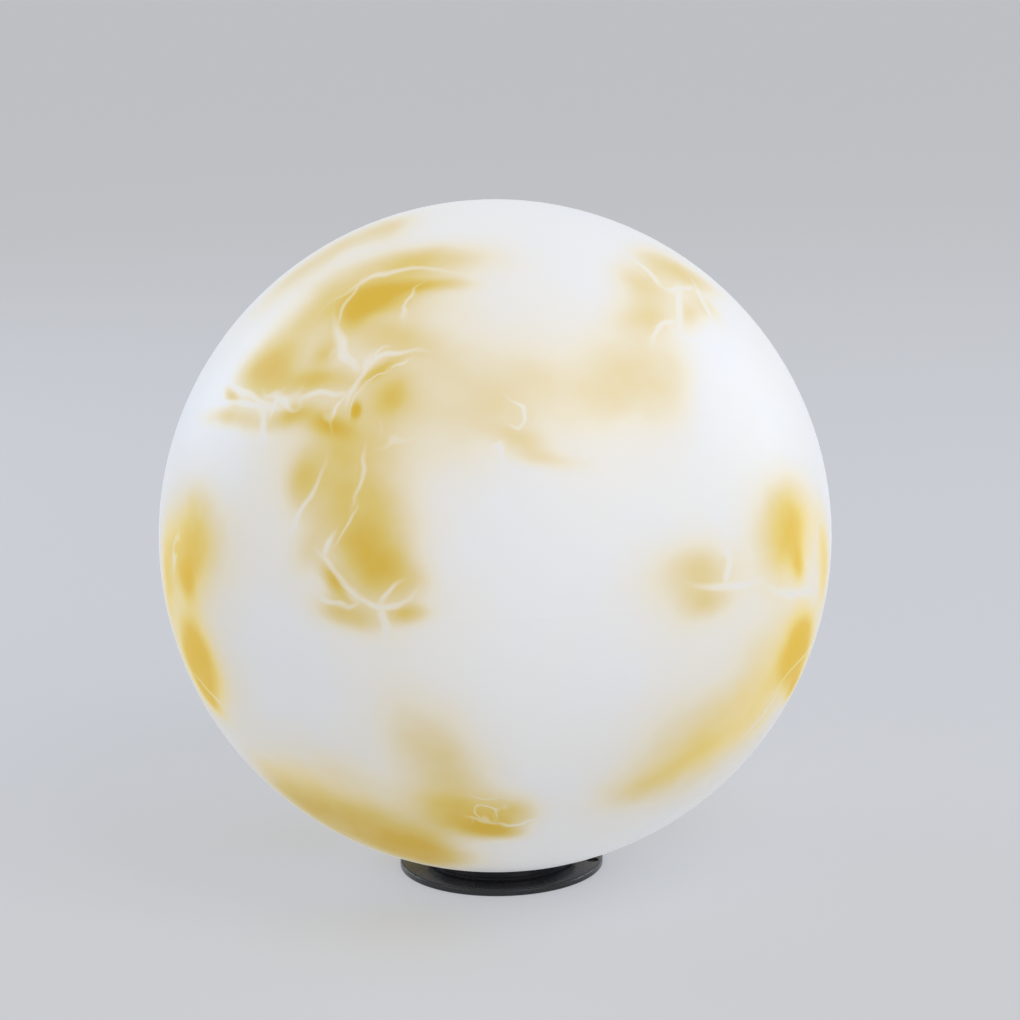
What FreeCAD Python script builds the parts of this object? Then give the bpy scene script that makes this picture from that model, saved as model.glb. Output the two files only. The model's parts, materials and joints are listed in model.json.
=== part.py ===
"""A moon lamp: an opal globe, pushed down over the collar of a round black base with a screw-in bulb.

Frame: +Z up, origin on the ground at the centre of the base, -Y to the front. Sizes are in millimetres.
"""

import FreeCAD, Part

import math
import os

from FreeCAD import Vector

# ---- Driving dimensions --------------------------------------------------------------------------

# Globe
GLOBE_DIAMETER = 300.0
SHELL_WALL = 3.0
SEAM_LAP = 5.0  # height of the lower shell's tongue inside the upper shell
SEAM_GLUE_GAP = 0.15

# Neck ring, clamped in the globe's opening
NECK_BORE_RADIUS = 30.0
NECK_WALL = 2.8
NECK_LEDGE = 1.2  # of the band that shows under the globe, outside the spigot
NECK_BAND_HEIGHT = 4.1
NECK_BAND_EDGE = 0.5
NECK_LEAD_IN = 0.8
NECK_TOP_MARGIN = 1.2  # spigot left above the lock nut
OPENING_CLEARANCE = 0.2
LOCK_NUT_WIDTH = 8.0
LOCK_NUT_HEIGHT = 5.0
LOCK_NUT_SLOTS = 6
LOCK_NUT_SLOT_WIDTH = 6.0
LOCK_NUT_SLOT_DEPTH = 2.4
THREAD_CLEARANCE = 0.15
GASKET_EDGE_THICKNESS = 0.8
CURVED_SEAT_GAP = 0.1  # between curved faces of one body that seat on each other

# Base moulding
FLANGE_RADIUS = 46.5
FLANGE_THICKNESS = 3.0
FLANGE_TOP_ROUND = 1.0
FLANGE_FOOT_EDGE = 0.3
HOLE_EDGE_DISTANCE = 4.3  # from a mounting hole's centre to the flange's edge
HOLE_RADIUS = 2.75
HOLE_COUNTERSINK = 0.3
FOOT_RING_WIDTH = 9.5  # of the flange's underside that stands on the ground
RECESS_DEPTH = 1.0
RIB_COUNT = 6
RIB_WIDTH = 1.4
RIB_INNER_RADIUS = 9.0
COLLAR_RUNNING_GAP = 0.5  # radial, between the collar and the neck ring
COLLAR_WALL = 3.0
COLLAR_HEIGHT = 21.0
COLLAR_LEAD_IN = 0.8
SEAL_SECTION_RADIUS = 0.85
SEAL_CLEARANCE = 0.3  # radial, between the seal and the neck ring
SEAL_GROOVE_SIDE_GAP = 0.15
SEAL_HEIGHT_ON_COLLAR = 12.0
WASHER_THICKNESS = 0.8
WASHER_SIDE_GAP = 0.7

# Inside the collar
BOSS_RADIUS = 3.0
BOSS_COUNT = 3
BOSS_FIRST_ANGLE = 30.0
BOSS_WALL_OVERLAP = 0.4
SELF_TAP_RADIUS = 1.4
SELF_TAP_CLEARANCE = 0.1
SCREW_HEAD_RADIUS = 2.6
SCREW_HEAD_HEIGHT = 1.7
SCREW_HEAD_EDGE_SHARE = 0.4  # of the head's height, upright before the crown
BOSS_SCREW_DEPTH = 9.0
CABLE_RADIUS = 3.5
GROMMET_WALL = 1.4
GROMMET_LIP = 1.8
GROMMET_LIP_HEIGHT = 2.5
GROMMET_FLOOR_GAP = 0.15  # keeps the grommet's foot off the ground and off its seat's edge
CLAMP_LENGTH = 22.0
CLAMP_WIDTH = 6.0
CLAMP_THICKNESS = 4.0
CLAMP_CORNER = 1.8
CLAMP_OFFSET = 13.0  # to the front of the cable's entry
CLAMP_SCREW_SPACING = 16.0
CLAMP_POST_RADIUS = 2.6
CLAMP_POST_HEIGHT = 5.0
CLAMP_SCREW_DEPTH = 3.5
BLOCK_LENGTH = 18.0
BLOCK_DEPTH = 12.0
BLOCK_HEIGHT = 11.0
BLOCK_FRONT = 8.0  # behind the cable's entry
BLOCK_CORNER = 1.0
POLE_SPACING = 10.0
POLE_HEIGHT = 5.0
INSERT_OUTER_RADIUS = 2.4
INSERT_INNER_RADIUS = 1.5
WIRE_SCREW_RADIUS = 1.2
WIRE_SCREW_SETBACK = 3.0
WIRE_SCREW_SUNK = 2.0
BLOCK_SCREW_DEPTH = 1.6

# Holder plate and lamp holder
PLATE_THICKNESS = 2.5
PLATE_EDGE_GAP = 0.5  # inside the collar's outside
LEAD_RADIUS = 1.1
LEAD_HOLE_CLEARANCE = 0.5
LEAD_BEND_RADIUS = 2.6
LEAD_STRIPPED_IN = 2.0
LEAD_PUSHED_IN = 2.0  # into the holder's floor
HOLDER_SCREW_GAP = 1.3  # between the holder's foot and the heads of the plate's screws
HOLDER_FOOT_STEP = 2.0  # by which the foot stands out from the mouth
HOLDER_EDGE_SHARE = 0.3  # of the mouth's wall, rounded off
HOLDER_SHOULDER = 2.4
HOLDER_RIM_GAP = 0.5  # below the bulb's neck
HOLDER_POCKET_WALL = 5.0
HOLDER_POCKET_DEPTH = 5.0
HOLDER_FLOOR = 3.5
HOLDER_SPIGOT_WALL = 0.8
HOLDER_SPIGOT_HEIGHT = 1.5
HOLDER_SCREW_SPACING = 19.0
HOLDER_PILLAR_RADIUS = 3.0
HOLDER_VENT_COUNT = 8
HOLDER_VENT_WIDTH = 2.4
HOLDER_VENT_SHARE = 0.25  # of the mouth's wall, cut away by a flute
HOLDER_VENT_START = 7.0
HOLDER_VENT_END = 5.0  # below the holder's rim
SCREW_SHELL_WALL = 0.5
SCREW_SHELL_SUNK = 0.5  # below the holder's rim
SCREW_SHELL_START = 5.0  # above the holder's floor
SCREW_SHELL_LEDGE = 0.2
CONTACT_WIDTH = 5.0
CONTACT_THICKNESS = 0.5
CONTACT_RISE = 2.3
CONTACT_ROOT = 11.0
CONTACT_BEND = 5.0
CONTACT_CREST = 3.0
CONTACT_RIVET_RADIUS = 1.3

# Bulb
BULB_DIAMETER = 45.0
BULB_LENGTH = 80.0
BULB_DOME_WALL = 1.2
BULB_JOINT_DROP = 9.5  # of the dome's rim below the dome's centre
BULB_HOUSING_WALL = 1.6
BULB_NECK_RADIUS = 13.8
BULB_NECK_HEIGHT = 6.0
BULB_BELLY = 1.6  # by which the housing's side stands proud of a straight cone
BULB_TIP_GAP = 0.2
TIP_RADIUS = 4.4
TIP_HEIGHT = 1.5
TIP_DOME = 0.9  # height of the dome under the tip's edge
CAP_RADIUS = 13.0
CAP_WALL = 0.4
CAP_HEIGHT = 22.0
CAP_TAPER_HEIGHT = 1.5
CAP_FOOT_RISE = 0.6  # of the cap's necked-in end above the insulator's face
CAP_TAPER = 2.0
CAP_SHELL_CLEARANCE = 0.3
INSULATOR_HEIGHT = 3.0
INSULATOR_LIP = 1.2
INSULATOR_BEVEL = 0.9
HOUSING_SPIGOT_HEIGHT = 9.0
HOUSING_SPIGOT_GAP = 0.2
BOARD_THICKNESS = 1.6
BOARD_EDGE_GAP = 0.3
BOARD_LEDGE = 3.0
CHIP_LENGTH = 3.5
CHIP_WIDTH = 2.8
CHIP_HEIGHT = 0.7
CHIP_COUNT = 12
CHIP_EDGE_MARGIN = 3.0  # from the board's edge to the middle of a chip
DRIVER_THICKNESS = 1.2
DRIVER_TOP_GAP = 1.0
DRIVER_EDGE_GAP = 0.4
DRIVER_PARTS_DROP = 2.0  # of its two parts' tops below its own
CAPACITOR_RADIUS = 4.0
CAPACITOR_LENGTH = 12.0
COIL_RADIUS = 3.5
COIL_LENGTH = 8.0

# ---- Levels and radii that follow ----------------------------------------------------------------

GLOBE_RADIUS = GLOBE_DIAMETER / 2
SHELL_INNER_RADIUS = GLOBE_RADIUS - SHELL_WALL
SEAM_MIDDLE_RADIUS = GLOBE_RADIUS - SHELL_WALL / 2
NECK_FOOT_Z = FLANGE_THICKNESS + WASHER_THICKNESS
SPIGOT_RADIUS = NECK_BORE_RADIUS + NECK_WALL
NECK_BAND_RADIUS = SPIGOT_RADIUS + NECK_LEDGE
GLOBE_CENTRE_Z = NECK_FOOT_Z + NECK_BAND_HEIGHT + math.sqrt(GLOBE_RADIUS**2 - NECK_BAND_RADIUS**2)
OPENING_RADIUS = SPIGOT_RADIUS + OPENING_CLEARANCE
LOCK_NUT_RADIUS = SPIGOT_RADIUS + LOCK_NUT_WIDTH
HOLE_CIRCLE_RADIUS = FLANGE_RADIUS - HOLE_EDGE_DISTANCE
RECESS_RADIUS = FLANGE_RADIUS - FOOT_RING_WIDTH
COLLAR_RADIUS = NECK_BORE_RADIUS - COLLAR_RUNNING_GAP
COLLAR_INNER_RADIUS = COLLAR_RADIUS - COLLAR_WALL
COLLAR_TOP_Z = FLANGE_THICKNESS + COLLAR_HEIGHT
FLOOR_Z = FLANGE_THICKNESS
SEAL_Z = FLOOR_Z + SEAL_HEIGHT_ON_COLLAR
SEAL_CENTRE_RADIUS = NECK_BORE_RADIUS - SEAL_CLEARANCE - SEAL_SECTION_RADIUS
BOSS_CIRCLE_RADIUS = COLLAR_INNER_RADIUS - BOSS_RADIUS + BOSS_WALL_OVERLAP
PILOT_RADIUS = SELF_TAP_RADIUS + SELF_TAP_CLEARANCE
GROMMET_WAIST_RADIUS = CABLE_RADIUS + GROMMET_WALL
GROMMET_LIP_RADIUS = GROMMET_WAIST_RADIUS + GROMMET_LIP
CLAMP_Z = FLOOR_Z + CLAMP_POST_HEIGHT
PLATE_Z = COLLAR_TOP_Z
PLATE_TOP_Z = PLATE_Z + PLATE_THICKNESS
PLATE_RADIUS = COLLAR_RADIUS - PLATE_EDGE_GAP
LEAD_HOLE_RADIUS = LEAD_RADIUS + LEAD_HOLE_CLEARANCE
LEAD_Y = BLOCK_FRONT - LEAD_BEND_RADIUS
HOLDER_FLOOR_Z = PLATE_TOP_Z + HOLDER_POCKET_DEPTH
HOLDER_SEAT_Z = HOLDER_FLOOR_Z + HOLDER_FLOOR
SCREW_SHELL_Z = HOLDER_SEAT_Z + SCREW_SHELL_START
SCREW_SHELL_INNER_RADIUS = CAP_RADIUS + CAP_SHELL_CLEARANCE
SCREW_SHELL_RADIUS = SCREW_SHELL_INNER_RADIUS + SCREW_SHELL_WALL
HOLDER_BORE_RADIUS = SCREW_SHELL_RADIUS + CURVED_SEAT_GAP
HOLDER_WELL_RADIUS = SCREW_SHELL_INNER_RADIUS + SCREW_SHELL_LEDGE
HOLDER_SPIGOT_RADIUS = HOLDER_WELL_RADIUS - CURVED_SEAT_GAP
HOLDER_FOOT_RADIUS = BOSS_CIRCLE_RADIUS - SCREW_HEAD_RADIUS - HOLDER_SCREW_GAP
HOLDER_MOUTH_RADIUS = HOLDER_FOOT_RADIUS - HOLDER_FOOT_STEP
HOLDER_POCKET_RADIUS = HOLDER_FOOT_RADIUS - HOLDER_POCKET_WALL
HOLDER_WALL = HOLDER_MOUTH_RADIUS - HOLDER_BORE_RADIUS
RIVET_Y = -CONTACT_ROOT + CONTACT_RIVET_RADIUS * 2
CONTACT_CREST_Z = HOLDER_SEAT_Z + CONTACT_RISE + CONTACT_THICKNESS
TIP_Z = CONTACT_CREST_Z + BULB_TIP_GAP
INSULATOR_Z = TIP_Z + TIP_HEIGHT
CAP_Z = INSULATOR_Z + CAP_TAPER_HEIGHT
CAP_TOP_Z = CAP_Z + CAP_HEIGHT
HOLDER_TOP_Z = CAP_TOP_Z - HOLDER_RIM_GAP
SCREW_SHELL_TOP_Z = HOLDER_TOP_Z - SCREW_SHELL_SUNK
FLUTE_Z = HOLDER_SEAT_Z + HOLDER_VENT_START
FLUTE_HEIGHT = HOLDER_TOP_Z - HOLDER_VENT_END - FLUTE_Z
BULB_RADIUS = BULB_DIAMETER / 2
BULB_TOP_Z = TIP_Z + BULB_LENGTH
DOME_CENTRE_Z = BULB_TOP_Z - BULB_RADIUS
DOME_RIM_Z = DOME_CENTRE_Z - BULB_JOINT_DROP
DOME_RIM_RADIUS = math.sqrt(BULB_RADIUS**2 - BULB_JOINT_DROP**2)
BOARD_Z = DOME_RIM_Z - BOARD_THICKNESS
BOARD_RADIUS = DOME_RIM_RADIUS - BULB_HOUSING_WALL - BOARD_EDGE_GAP
DRIVER_FOOT_Z = CAP_TOP_Z - HOUSING_SPIGOT_HEIGHT
DRIVER_TOP_Z = BOARD_Z - DRIVER_TOP_GAP
SPIGOT_IN_CAP_RADIUS = CAP_RADIUS - CAP_WALL - HOUSING_SPIGOT_GAP
CIRCLE = 360.0
AXIS = Vector(0, 0, 1)
ORIGIN = Vector(0, 0, 0)


# ---- Shapes that several pieces use --------------------------------------------------------------


def at(radius, z):
    """A point of a profile that is turned about the lamp's axis."""
    return Vector(radius, 0, z)


def line(start, end):
    return Part.LineSegment(start, end).toShape()


def lines(points):
    """The straight edges that join (radius, z) points of a profile in turn."""
    corners = [at(*p) for p in points]
    return [line(a, b) for a, b in zip(corners, corners[1:])]


def arc(start, through, end):
    return Part.Arc(start, through, end).toShape()


def dome_arc(radius, edge_z, crown_z):
    """The arc of a shallow dome's profile, from its edge to its crown on the lamp's axis."""
    rise = crown_z - edge_z
    sphere_radius = (radius**2 + rise**2) / (2 * rise)
    centre = at(0, crown_z - sphere_radius)
    edge = at(radius, edge_z)
    crown = at(0, crown_z)
    middle = (edge - centre) + (crown - centre)
    middle.normalize()
    return arc(edge, centre + middle * abs(sphere_radius), crown)


def turned(edges):
    """The solid that a closed profile sweeps out in a full turn about the lamp's axis."""
    return Part.Face(Part.Wire(edges)).revolve(ORIGIN, AXIS, CIRCLE)


def turned_polygon(points):
    """The same, from the profile's corners."""
    return turned(lines(points + points[:1]))


def cylinder(x, y, z, radius, height):
    return Part.makeCylinder(radius, height, Vector(x, y, z), AXIS)


def centred_box(x, y, z, length, depth, height):
    """A box standing on z, centred on x and y."""
    return Part.makeBox(length, depth, height, Vector(x - length / 2, y - depth / 2, z))


def upright_edges(shape, height):
    """The edges of a box-like shape that stand up along Z for its whole height."""
    return [e for e in shape.Edges if e.BoundBox.ZLength > height / 2]


def sphere_radius_at(sphere_radius, z):
    """How far from the lamp's axis a sphere about the globe's centre lies at that height."""
    return math.sqrt(sphere_radius**2 - (z - GLOBE_CENTRE_Z) ** 2)


def sphere_height_at(sphere_radius, radius):
    """The height at which the lower half of such a sphere passes that distance from the axis."""
    return GLOBE_CENTRE_Z - math.sqrt(sphere_radius**2 - radius**2)


def sphere_arc(sphere_radius, start, end):
    """The arc of such a sphere's profile between two of its points."""
    centre = at(0, GLOBE_CENTRE_Z)
    middle = (start - centre) + (end - centre)
    middle.normalize()
    return arc(start, centre + middle * sphere_radius, end)


def round_pattern(count, first_angle, radius):
    """(x, y) places spaced evenly on a circle, with their angles in degrees."""
    angles = [first_angle + CIRCLE * i / count for i in range(count)]
    return [(radius * math.cos(math.radians(a)), radius * math.sin(math.radians(a)), a) for a in angles]


def screw(x, y, seat_z, depth, shank_radius=SELF_TAP_RADIUS):
    """A domed pan-head screw whose head sits on seat_z and whose shank reaches depth below it."""
    edge_z = SCREW_HEAD_HEIGHT * SCREW_HEAD_EDGE_SHARE
    sides = lines(
        [
            (0, SCREW_HEAD_HEIGHT),
            (0, -depth),
            (shank_radius, -depth),
            (shank_radius, 0),
            (SCREW_HEAD_RADIUS, 0),
            (SCREW_HEAD_RADIUS, edge_z),
        ]
    )
    whole = turned(sides + [dome_arc(SCREW_HEAD_RADIUS, edge_z, SCREW_HEAD_HEIGHT)])
    whole.translate(Vector(x, y, seat_z))
    return whole


# ---- Globe ---------------------------------------------------------------------------------------


def upper_shell():
    """The upper half of the globe, rebated inside its rim for the lower shell's tongue."""
    rebate_top = GLOBE_CENTRE_Z + SEAM_LAP + SEAM_GLUE_GAP
    pole = at(0, GLOBE_CENTRE_Z + GLOBE_RADIUS)
    inner_pole = at(0, GLOBE_CENTRE_Z + SHELL_INNER_RADIUS)
    rim = at(GLOBE_RADIUS, GLOBE_CENTRE_Z)
    rim_inside = at(SEAM_MIDDLE_RADIUS, GLOBE_CENTRE_Z)
    rebate = at(sphere_radius_at(SEAM_MIDDLE_RADIUS, rebate_top), rebate_top)
    step = at(sphere_radius_at(SHELL_INNER_RADIUS, rebate_top), rebate_top)
    return turned(
        [
            sphere_arc(GLOBE_RADIUS, pole, rim),
            line(rim, rim_inside),
            sphere_arc(SEAM_MIDDLE_RADIUS, rim_inside, rebate),
            line(rebate, step),
            sphere_arc(SHELL_INNER_RADIUS, step, inner_pole),
            line(inner_pole, pole),
        ]
    )


def lower_shell():
    """The lower half of the globe, with the tongue at its rim and the opening for the neck ring."""
    tongue_radius = SEAM_MIDDLE_RADIUS - SEAM_GLUE_GAP
    tongue_top = GLOBE_CENTRE_Z + SEAM_LAP
    rim = at(GLOBE_RADIUS, GLOBE_CENTRE_Z)
    tongue_root = at(tongue_radius, GLOBE_CENTRE_Z)
    tongue_outside = at(sphere_radius_at(tongue_radius, tongue_top), tongue_top)
    tongue_inside = at(sphere_radius_at(SHELL_INNER_RADIUS, tongue_top), tongue_top)
    mouth_inside = at(OPENING_RADIUS, sphere_height_at(SHELL_INNER_RADIUS, OPENING_RADIUS))
    mouth_outside = at(OPENING_RADIUS, sphere_height_at(GLOBE_RADIUS, OPENING_RADIUS))
    return turned(
        [
            sphere_arc(GLOBE_RADIUS, mouth_outside, rim),
            line(rim, tongue_root),
            sphere_arc(tongue_radius, tongue_root, tongue_outside),
            line(tongue_outside, tongue_inside),
            sphere_arc(SHELL_INNER_RADIUS, tongue_inside, mouth_inside),
            line(mouth_inside, mouth_outside),
        ]
    )


def gasket_top_z():
    """The flat top of the gasket inside the globe, on which the lock nut sits."""
    return sphere_height_at(SHELL_INNER_RADIUS, LOCK_NUT_RADIUS) + GASKET_EDGE_THICKNESS


def neck_ring():
    """The black ring in the globe's opening: a band that shows outside, and a spigot through the opening."""
    seat_radius = GLOBE_RADIUS + CURVED_SEAT_GAP
    top_z = gasket_top_z() + LOCK_NUT_HEIGHT + NECK_TOP_MARGIN
    band_top = at(NECK_BAND_RADIUS, sphere_height_at(seat_radius, NECK_BAND_RADIUS))
    seat_end = at(SPIGOT_RADIUS, sphere_height_at(seat_radius, SPIGOT_RADIUS))
    foot = [
        at(NECK_BORE_RADIUS, NECK_FOOT_Z + NECK_LEAD_IN),
        at(NECK_BORE_RADIUS + NECK_LEAD_IN, NECK_FOOT_Z),
        at(NECK_BAND_RADIUS - NECK_BAND_EDGE, NECK_FOOT_Z),
        at(NECK_BAND_RADIUS, NECK_FOOT_Z + NECK_BAND_EDGE),
    ]
    return turned(
        [line(a, b) for a, b in zip(foot, foot[1:])]
        + [
            line(foot[-1], band_top),
            sphere_arc(seat_radius, band_top, seat_end),
            line(seat_end, at(SPIGOT_RADIUS, top_z)),
            line(at(SPIGOT_RADIUS, top_z), at(NECK_BORE_RADIUS, top_z)),
            line(at(NECK_BORE_RADIUS, top_z), foot[0]),
        ]
    )


def globe_gasket():
    """The soft ring between the inside of the globe and the lock nut, curved below and flat on top."""
    seat_radius = SHELL_INNER_RADIUS - CURVED_SEAT_GAP
    inner_radius = OPENING_RADIUS
    top_z = gasket_top_z()
    inner_foot = at(inner_radius, sphere_height_at(seat_radius, inner_radius))
    outer_foot = at(LOCK_NUT_RADIUS, sphere_height_at(seat_radius, LOCK_NUT_RADIUS))
    return turned(
        [
            sphere_arc(seat_radius, inner_foot, outer_foot),
            line(outer_foot, at(LOCK_NUT_RADIUS, top_z)),
            line(at(LOCK_NUT_RADIUS, top_z), at(inner_radius, top_z)),
            line(at(inner_radius, top_z), inner_foot),
        ]
    )


def lock_nut():
    """The nut that clamps the globe on the neck ring, with slots for a spanner round its edge."""
    z = gasket_top_z()
    nut = cylinder(0, 0, z, LOCK_NUT_RADIUS, LOCK_NUT_HEIGHT)
    nut = nut.cut(cylinder(0, 0, z, SPIGOT_RADIUS + THREAD_CLEARANCE, LOCK_NUT_HEIGHT))
    for x, y, angle in round_pattern(LOCK_NUT_SLOTS, 0, LOCK_NUT_RADIUS):
        slot = centred_box(0, 0, z, 2 * LOCK_NUT_SLOT_DEPTH, LOCK_NUT_SLOT_WIDTH, LOCK_NUT_HEIGHT)
        slot.rotate(ORIGIN, AXIS, angle)
        slot.translate(Vector(x, y, 0))
        nut = nut.cut(slot)
    return nut


# ---- Base ----------------------------------------------------------------------------------------


def boss_places():
    return [(x, y) for x, y, _ in round_pattern(BOSS_COUNT, BOSS_FIRST_ANGLE, BOSS_CIRCLE_RADIUS)]


def clamp_screw_places():
    return [(side * CLAMP_SCREW_SPACING / 2, -CLAMP_OFFSET) for side in (-1, 1)]


def pole_places():
    return [side * POLE_SPACING / 2 for side in (-1, 1)]


def flange_and_collar():
    """The turned form of the base: flange, floor and collar, with the seal's groove and a lead-in."""
    groove_low = SEAL_Z - SEAL_SECTION_RADIUS - SEAL_GROOVE_SIDE_GAP
    groove_high = SEAL_Z + SEAL_SECTION_RADIUS + SEAL_GROOVE_SIDE_GAP
    groove_radius = SEAL_CENTRE_RADIUS - SEAL_SECTION_RADIUS
    entry_radius = GROMMET_WAIST_RADIUS
    rim_low = at(FLANGE_RADIUS, FLANGE_THICKNESS - FLANGE_TOP_ROUND)
    rim_high = at(FLANGE_RADIUS - FLANGE_TOP_ROUND, FLANGE_THICKNESS)
    quarter = FLANGE_TOP_ROUND * (1 - math.sqrt(0.5))
    rim_middle = at(FLANGE_RADIUS - quarter, FLANGE_THICKNESS - quarter)
    under = [
        at(entry_radius, RECESS_DEPTH),
        at(RECESS_RADIUS, RECESS_DEPTH),
        at(RECESS_RADIUS, 0),
        at(FLANGE_RADIUS - FLANGE_FOOT_EDGE, 0),
        at(FLANGE_RADIUS, FLANGE_FOOT_EDGE),
        rim_low,
    ]
    over = [
        rim_high,
        at(COLLAR_RADIUS, FLOOR_Z),
        at(COLLAR_RADIUS, groove_low),
        at(groove_radius, groove_low),
        at(groove_radius, groove_high),
        at(COLLAR_RADIUS, groove_high),
        at(COLLAR_RADIUS, COLLAR_TOP_Z - COLLAR_LEAD_IN),
        at(COLLAR_RADIUS - COLLAR_LEAD_IN, COLLAR_TOP_Z),
        at(COLLAR_INNER_RADIUS, COLLAR_TOP_Z),
        at(COLLAR_INNER_RADIUS, FLOOR_Z),
        at(entry_radius, FLOOR_Z),
        under[0],
    ]
    edges = [line(a, b) for a, b in zip(under, under[1:])]
    edges.append(arc(rim_low, rim_middle, rim_high))
    edges += [line(a, b) for a, b in zip(over, over[1:])]
    return turned(edges)


def mounting_hole(side):
    """The cutter for one mounting hole, countersunk a little at the flange's top."""
    hole = cylinder(0, 0, 0, HOLE_RADIUS, FLANGE_THICKNESS)
    mouth = Part.makeCone(
        HOLE_RADIUS,
        HOLE_RADIUS + HOLE_COUNTERSINK,
        HOLE_COUNTERSINK,
        Vector(0, 0, FLANGE_THICKNESS - HOLE_COUNTERSINK),
        AXIS,
    )
    cutter = hole.fuse(mouth)
    cutter.translate(Vector(side * HOLE_CIRCLE_RADIUS, 0, 0))
    return cutter


def base_moulding():
    """The black base: flange, ribbed recess below, collar, and the bosses and posts inside it."""
    base = flange_and_collar()
    for _, _, angle in round_pattern(RIB_COUNT, BOSS_FIRST_ANGLE, RECESS_RADIUS):
        length = RECESS_RADIUS - RIB_INNER_RADIUS + FLANGE_FOOT_EDGE
        rib = centred_box(RIB_INNER_RADIUS + length / 2, 0, 0, length, RIB_WIDTH, RECESS_DEPTH)
        rib.rotate(ORIGIN, AXIS, angle)
        base = base.fuse(rib)
    for x, y in boss_places():
        base = base.fuse(cylinder(x, y, FLOOR_Z, BOSS_RADIUS, COLLAR_HEIGHT))
    for x, y in clamp_screw_places():
        base = base.fuse(cylinder(x, y, FLOOR_Z, CLAMP_POST_RADIUS, CLAMP_POST_HEIGHT))
    for x, y in boss_places():
        base = base.cut(cylinder(x, y, COLLAR_TOP_Z - BOSS_SCREW_DEPTH, PILOT_RADIUS, BOSS_SCREW_DEPTH))
    for x, y in clamp_screw_places():
        base = base.cut(cylinder(x, y, CLAMP_Z - CLAMP_SCREW_DEPTH, PILOT_RADIUS, CLAMP_SCREW_DEPTH))
    block_middle = BLOCK_FRONT + BLOCK_DEPTH / 2
    base = base.cut(cylinder(0, block_middle, FLOOR_Z - BLOCK_SCREW_DEPTH, PILOT_RADIUS, BLOCK_SCREW_DEPTH))
    for side in (-1, 1):
        base = base.cut(mounting_hole(side))
    return base.removeSplitter()


def collar_seal():
    """The round rubber ring in the collar's groove that steadies the globe."""
    return Part.makeTorus(SEAL_CENTRE_RADIUS, SEAL_SECTION_RADIUS, Vector(0, 0, SEAL_Z), AXIS)


def slip_washer():
    """The loose flat washer that the neck ring turns and rests on."""
    inner_radius = COLLAR_RADIUS + WASHER_SIDE_GAP
    outer_radius = NECK_BAND_RADIUS - NECK_BAND_EDGE
    disc = cylinder(0, 0, FLANGE_THICKNESS, outer_radius, WASHER_THICKNESS)
    return disc.cut(cylinder(0, 0, FLANGE_THICKNESS, inner_radius, WASHER_THICKNESS))


def cable_grommet():
    """The soft sleeve that lines the cable's entry through the floor."""
    top_z = FLOOR_Z + GROMMET_LIP_HEIGHT
    foot_z = GROMMET_FLOOR_GAP
    waist = GROMMET_WAIST_RADIUS - GROMMET_FLOOR_GAP
    return turned_polygon(
        [
            (CABLE_RADIUS, foot_z),
            (GROMMET_LIP_RADIUS, foot_z),
            (GROMMET_LIP_RADIUS, RECESS_DEPTH),
            (waist, RECESS_DEPTH),
            (waist, FLOOR_Z),
            (GROMMET_LIP_RADIUS, FLOOR_Z),
            (GROMMET_WAIST_RADIUS, top_z),
            (CABLE_RADIUS, top_z),
        ]
    )


def cable_clamp():
    """The bar that holds the cable down, arched over it."""
    bar = centred_box(0, -CLAMP_OFFSET, CLAMP_Z, CLAMP_LENGTH, CLAMP_WIDTH, CLAMP_THICKNESS)
    bar = bar.makeFillet(CLAMP_CORNER, upright_edges(bar, CLAMP_THICKNESS))
    arch = Part.makeCylinder(
        CABLE_RADIUS,
        CLAMP_WIDTH,
        Vector(0, -CLAMP_OFFSET - CLAMP_WIDTH / 2, FLOOR_Z + CABLE_RADIUS),
        Vector(0, 1, 0),
    )
    bar = bar.cut(arch)
    for x, y in clamp_screw_places():
        bar = bar.cut(cylinder(x, y, CLAMP_Z, PILOT_RADIUS, CLAMP_THICKNESS))
    return bar


def clamp_screws():
    seat_z = CLAMP_Z + CLAMP_THICKNESS
    depth = CLAMP_THICKNESS + CLAMP_SCREW_DEPTH
    return Part.makeCompound([screw(x, y, seat_z, depth) for x, y in clamp_screw_places()])


def wire_screw_places():
    """The two screws of each pole, one near each end of its insert."""
    ends = (BLOCK_FRONT + WIRE_SCREW_SETBACK, BLOCK_FRONT + BLOCK_DEPTH - WIRE_SCREW_SETBACK)
    return [(x, y) for x in pole_places() for y in ends]


def terminal_block():
    """The two-pole connector, with a bore for each pole's insert and a well over each wire screw."""
    middle_y = BLOCK_FRONT + BLOCK_DEPTH / 2
    block = centred_box(0, middle_y, FLOOR_Z, BLOCK_LENGTH, BLOCK_DEPTH, BLOCK_HEIGHT)
    block = block.makeFillet(BLOCK_CORNER, upright_edges(block, BLOCK_HEIGHT))
    for x in pole_places():
        bore = Part.makeCylinder(
            INSERT_OUTER_RADIUS + CURVED_SEAT_GAP,
            BLOCK_DEPTH,
            Vector(x, BLOCK_FRONT, FLOOR_Z + POLE_HEIGHT),
            Vector(0, 1, 0),
        )
        block = block.cut(bore)
    for x, y in wire_screw_places():
        block = block.cut(
            cylinder(x, y, FLOOR_Z + POLE_HEIGHT, WIRE_SCREW_RADIUS + CURVED_SEAT_GAP, BLOCK_HEIGHT)
        )
    return block.cut(cylinder(0, middle_y, FLOOR_Z, PILOT_RADIUS, BLOCK_HEIGHT))


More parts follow.
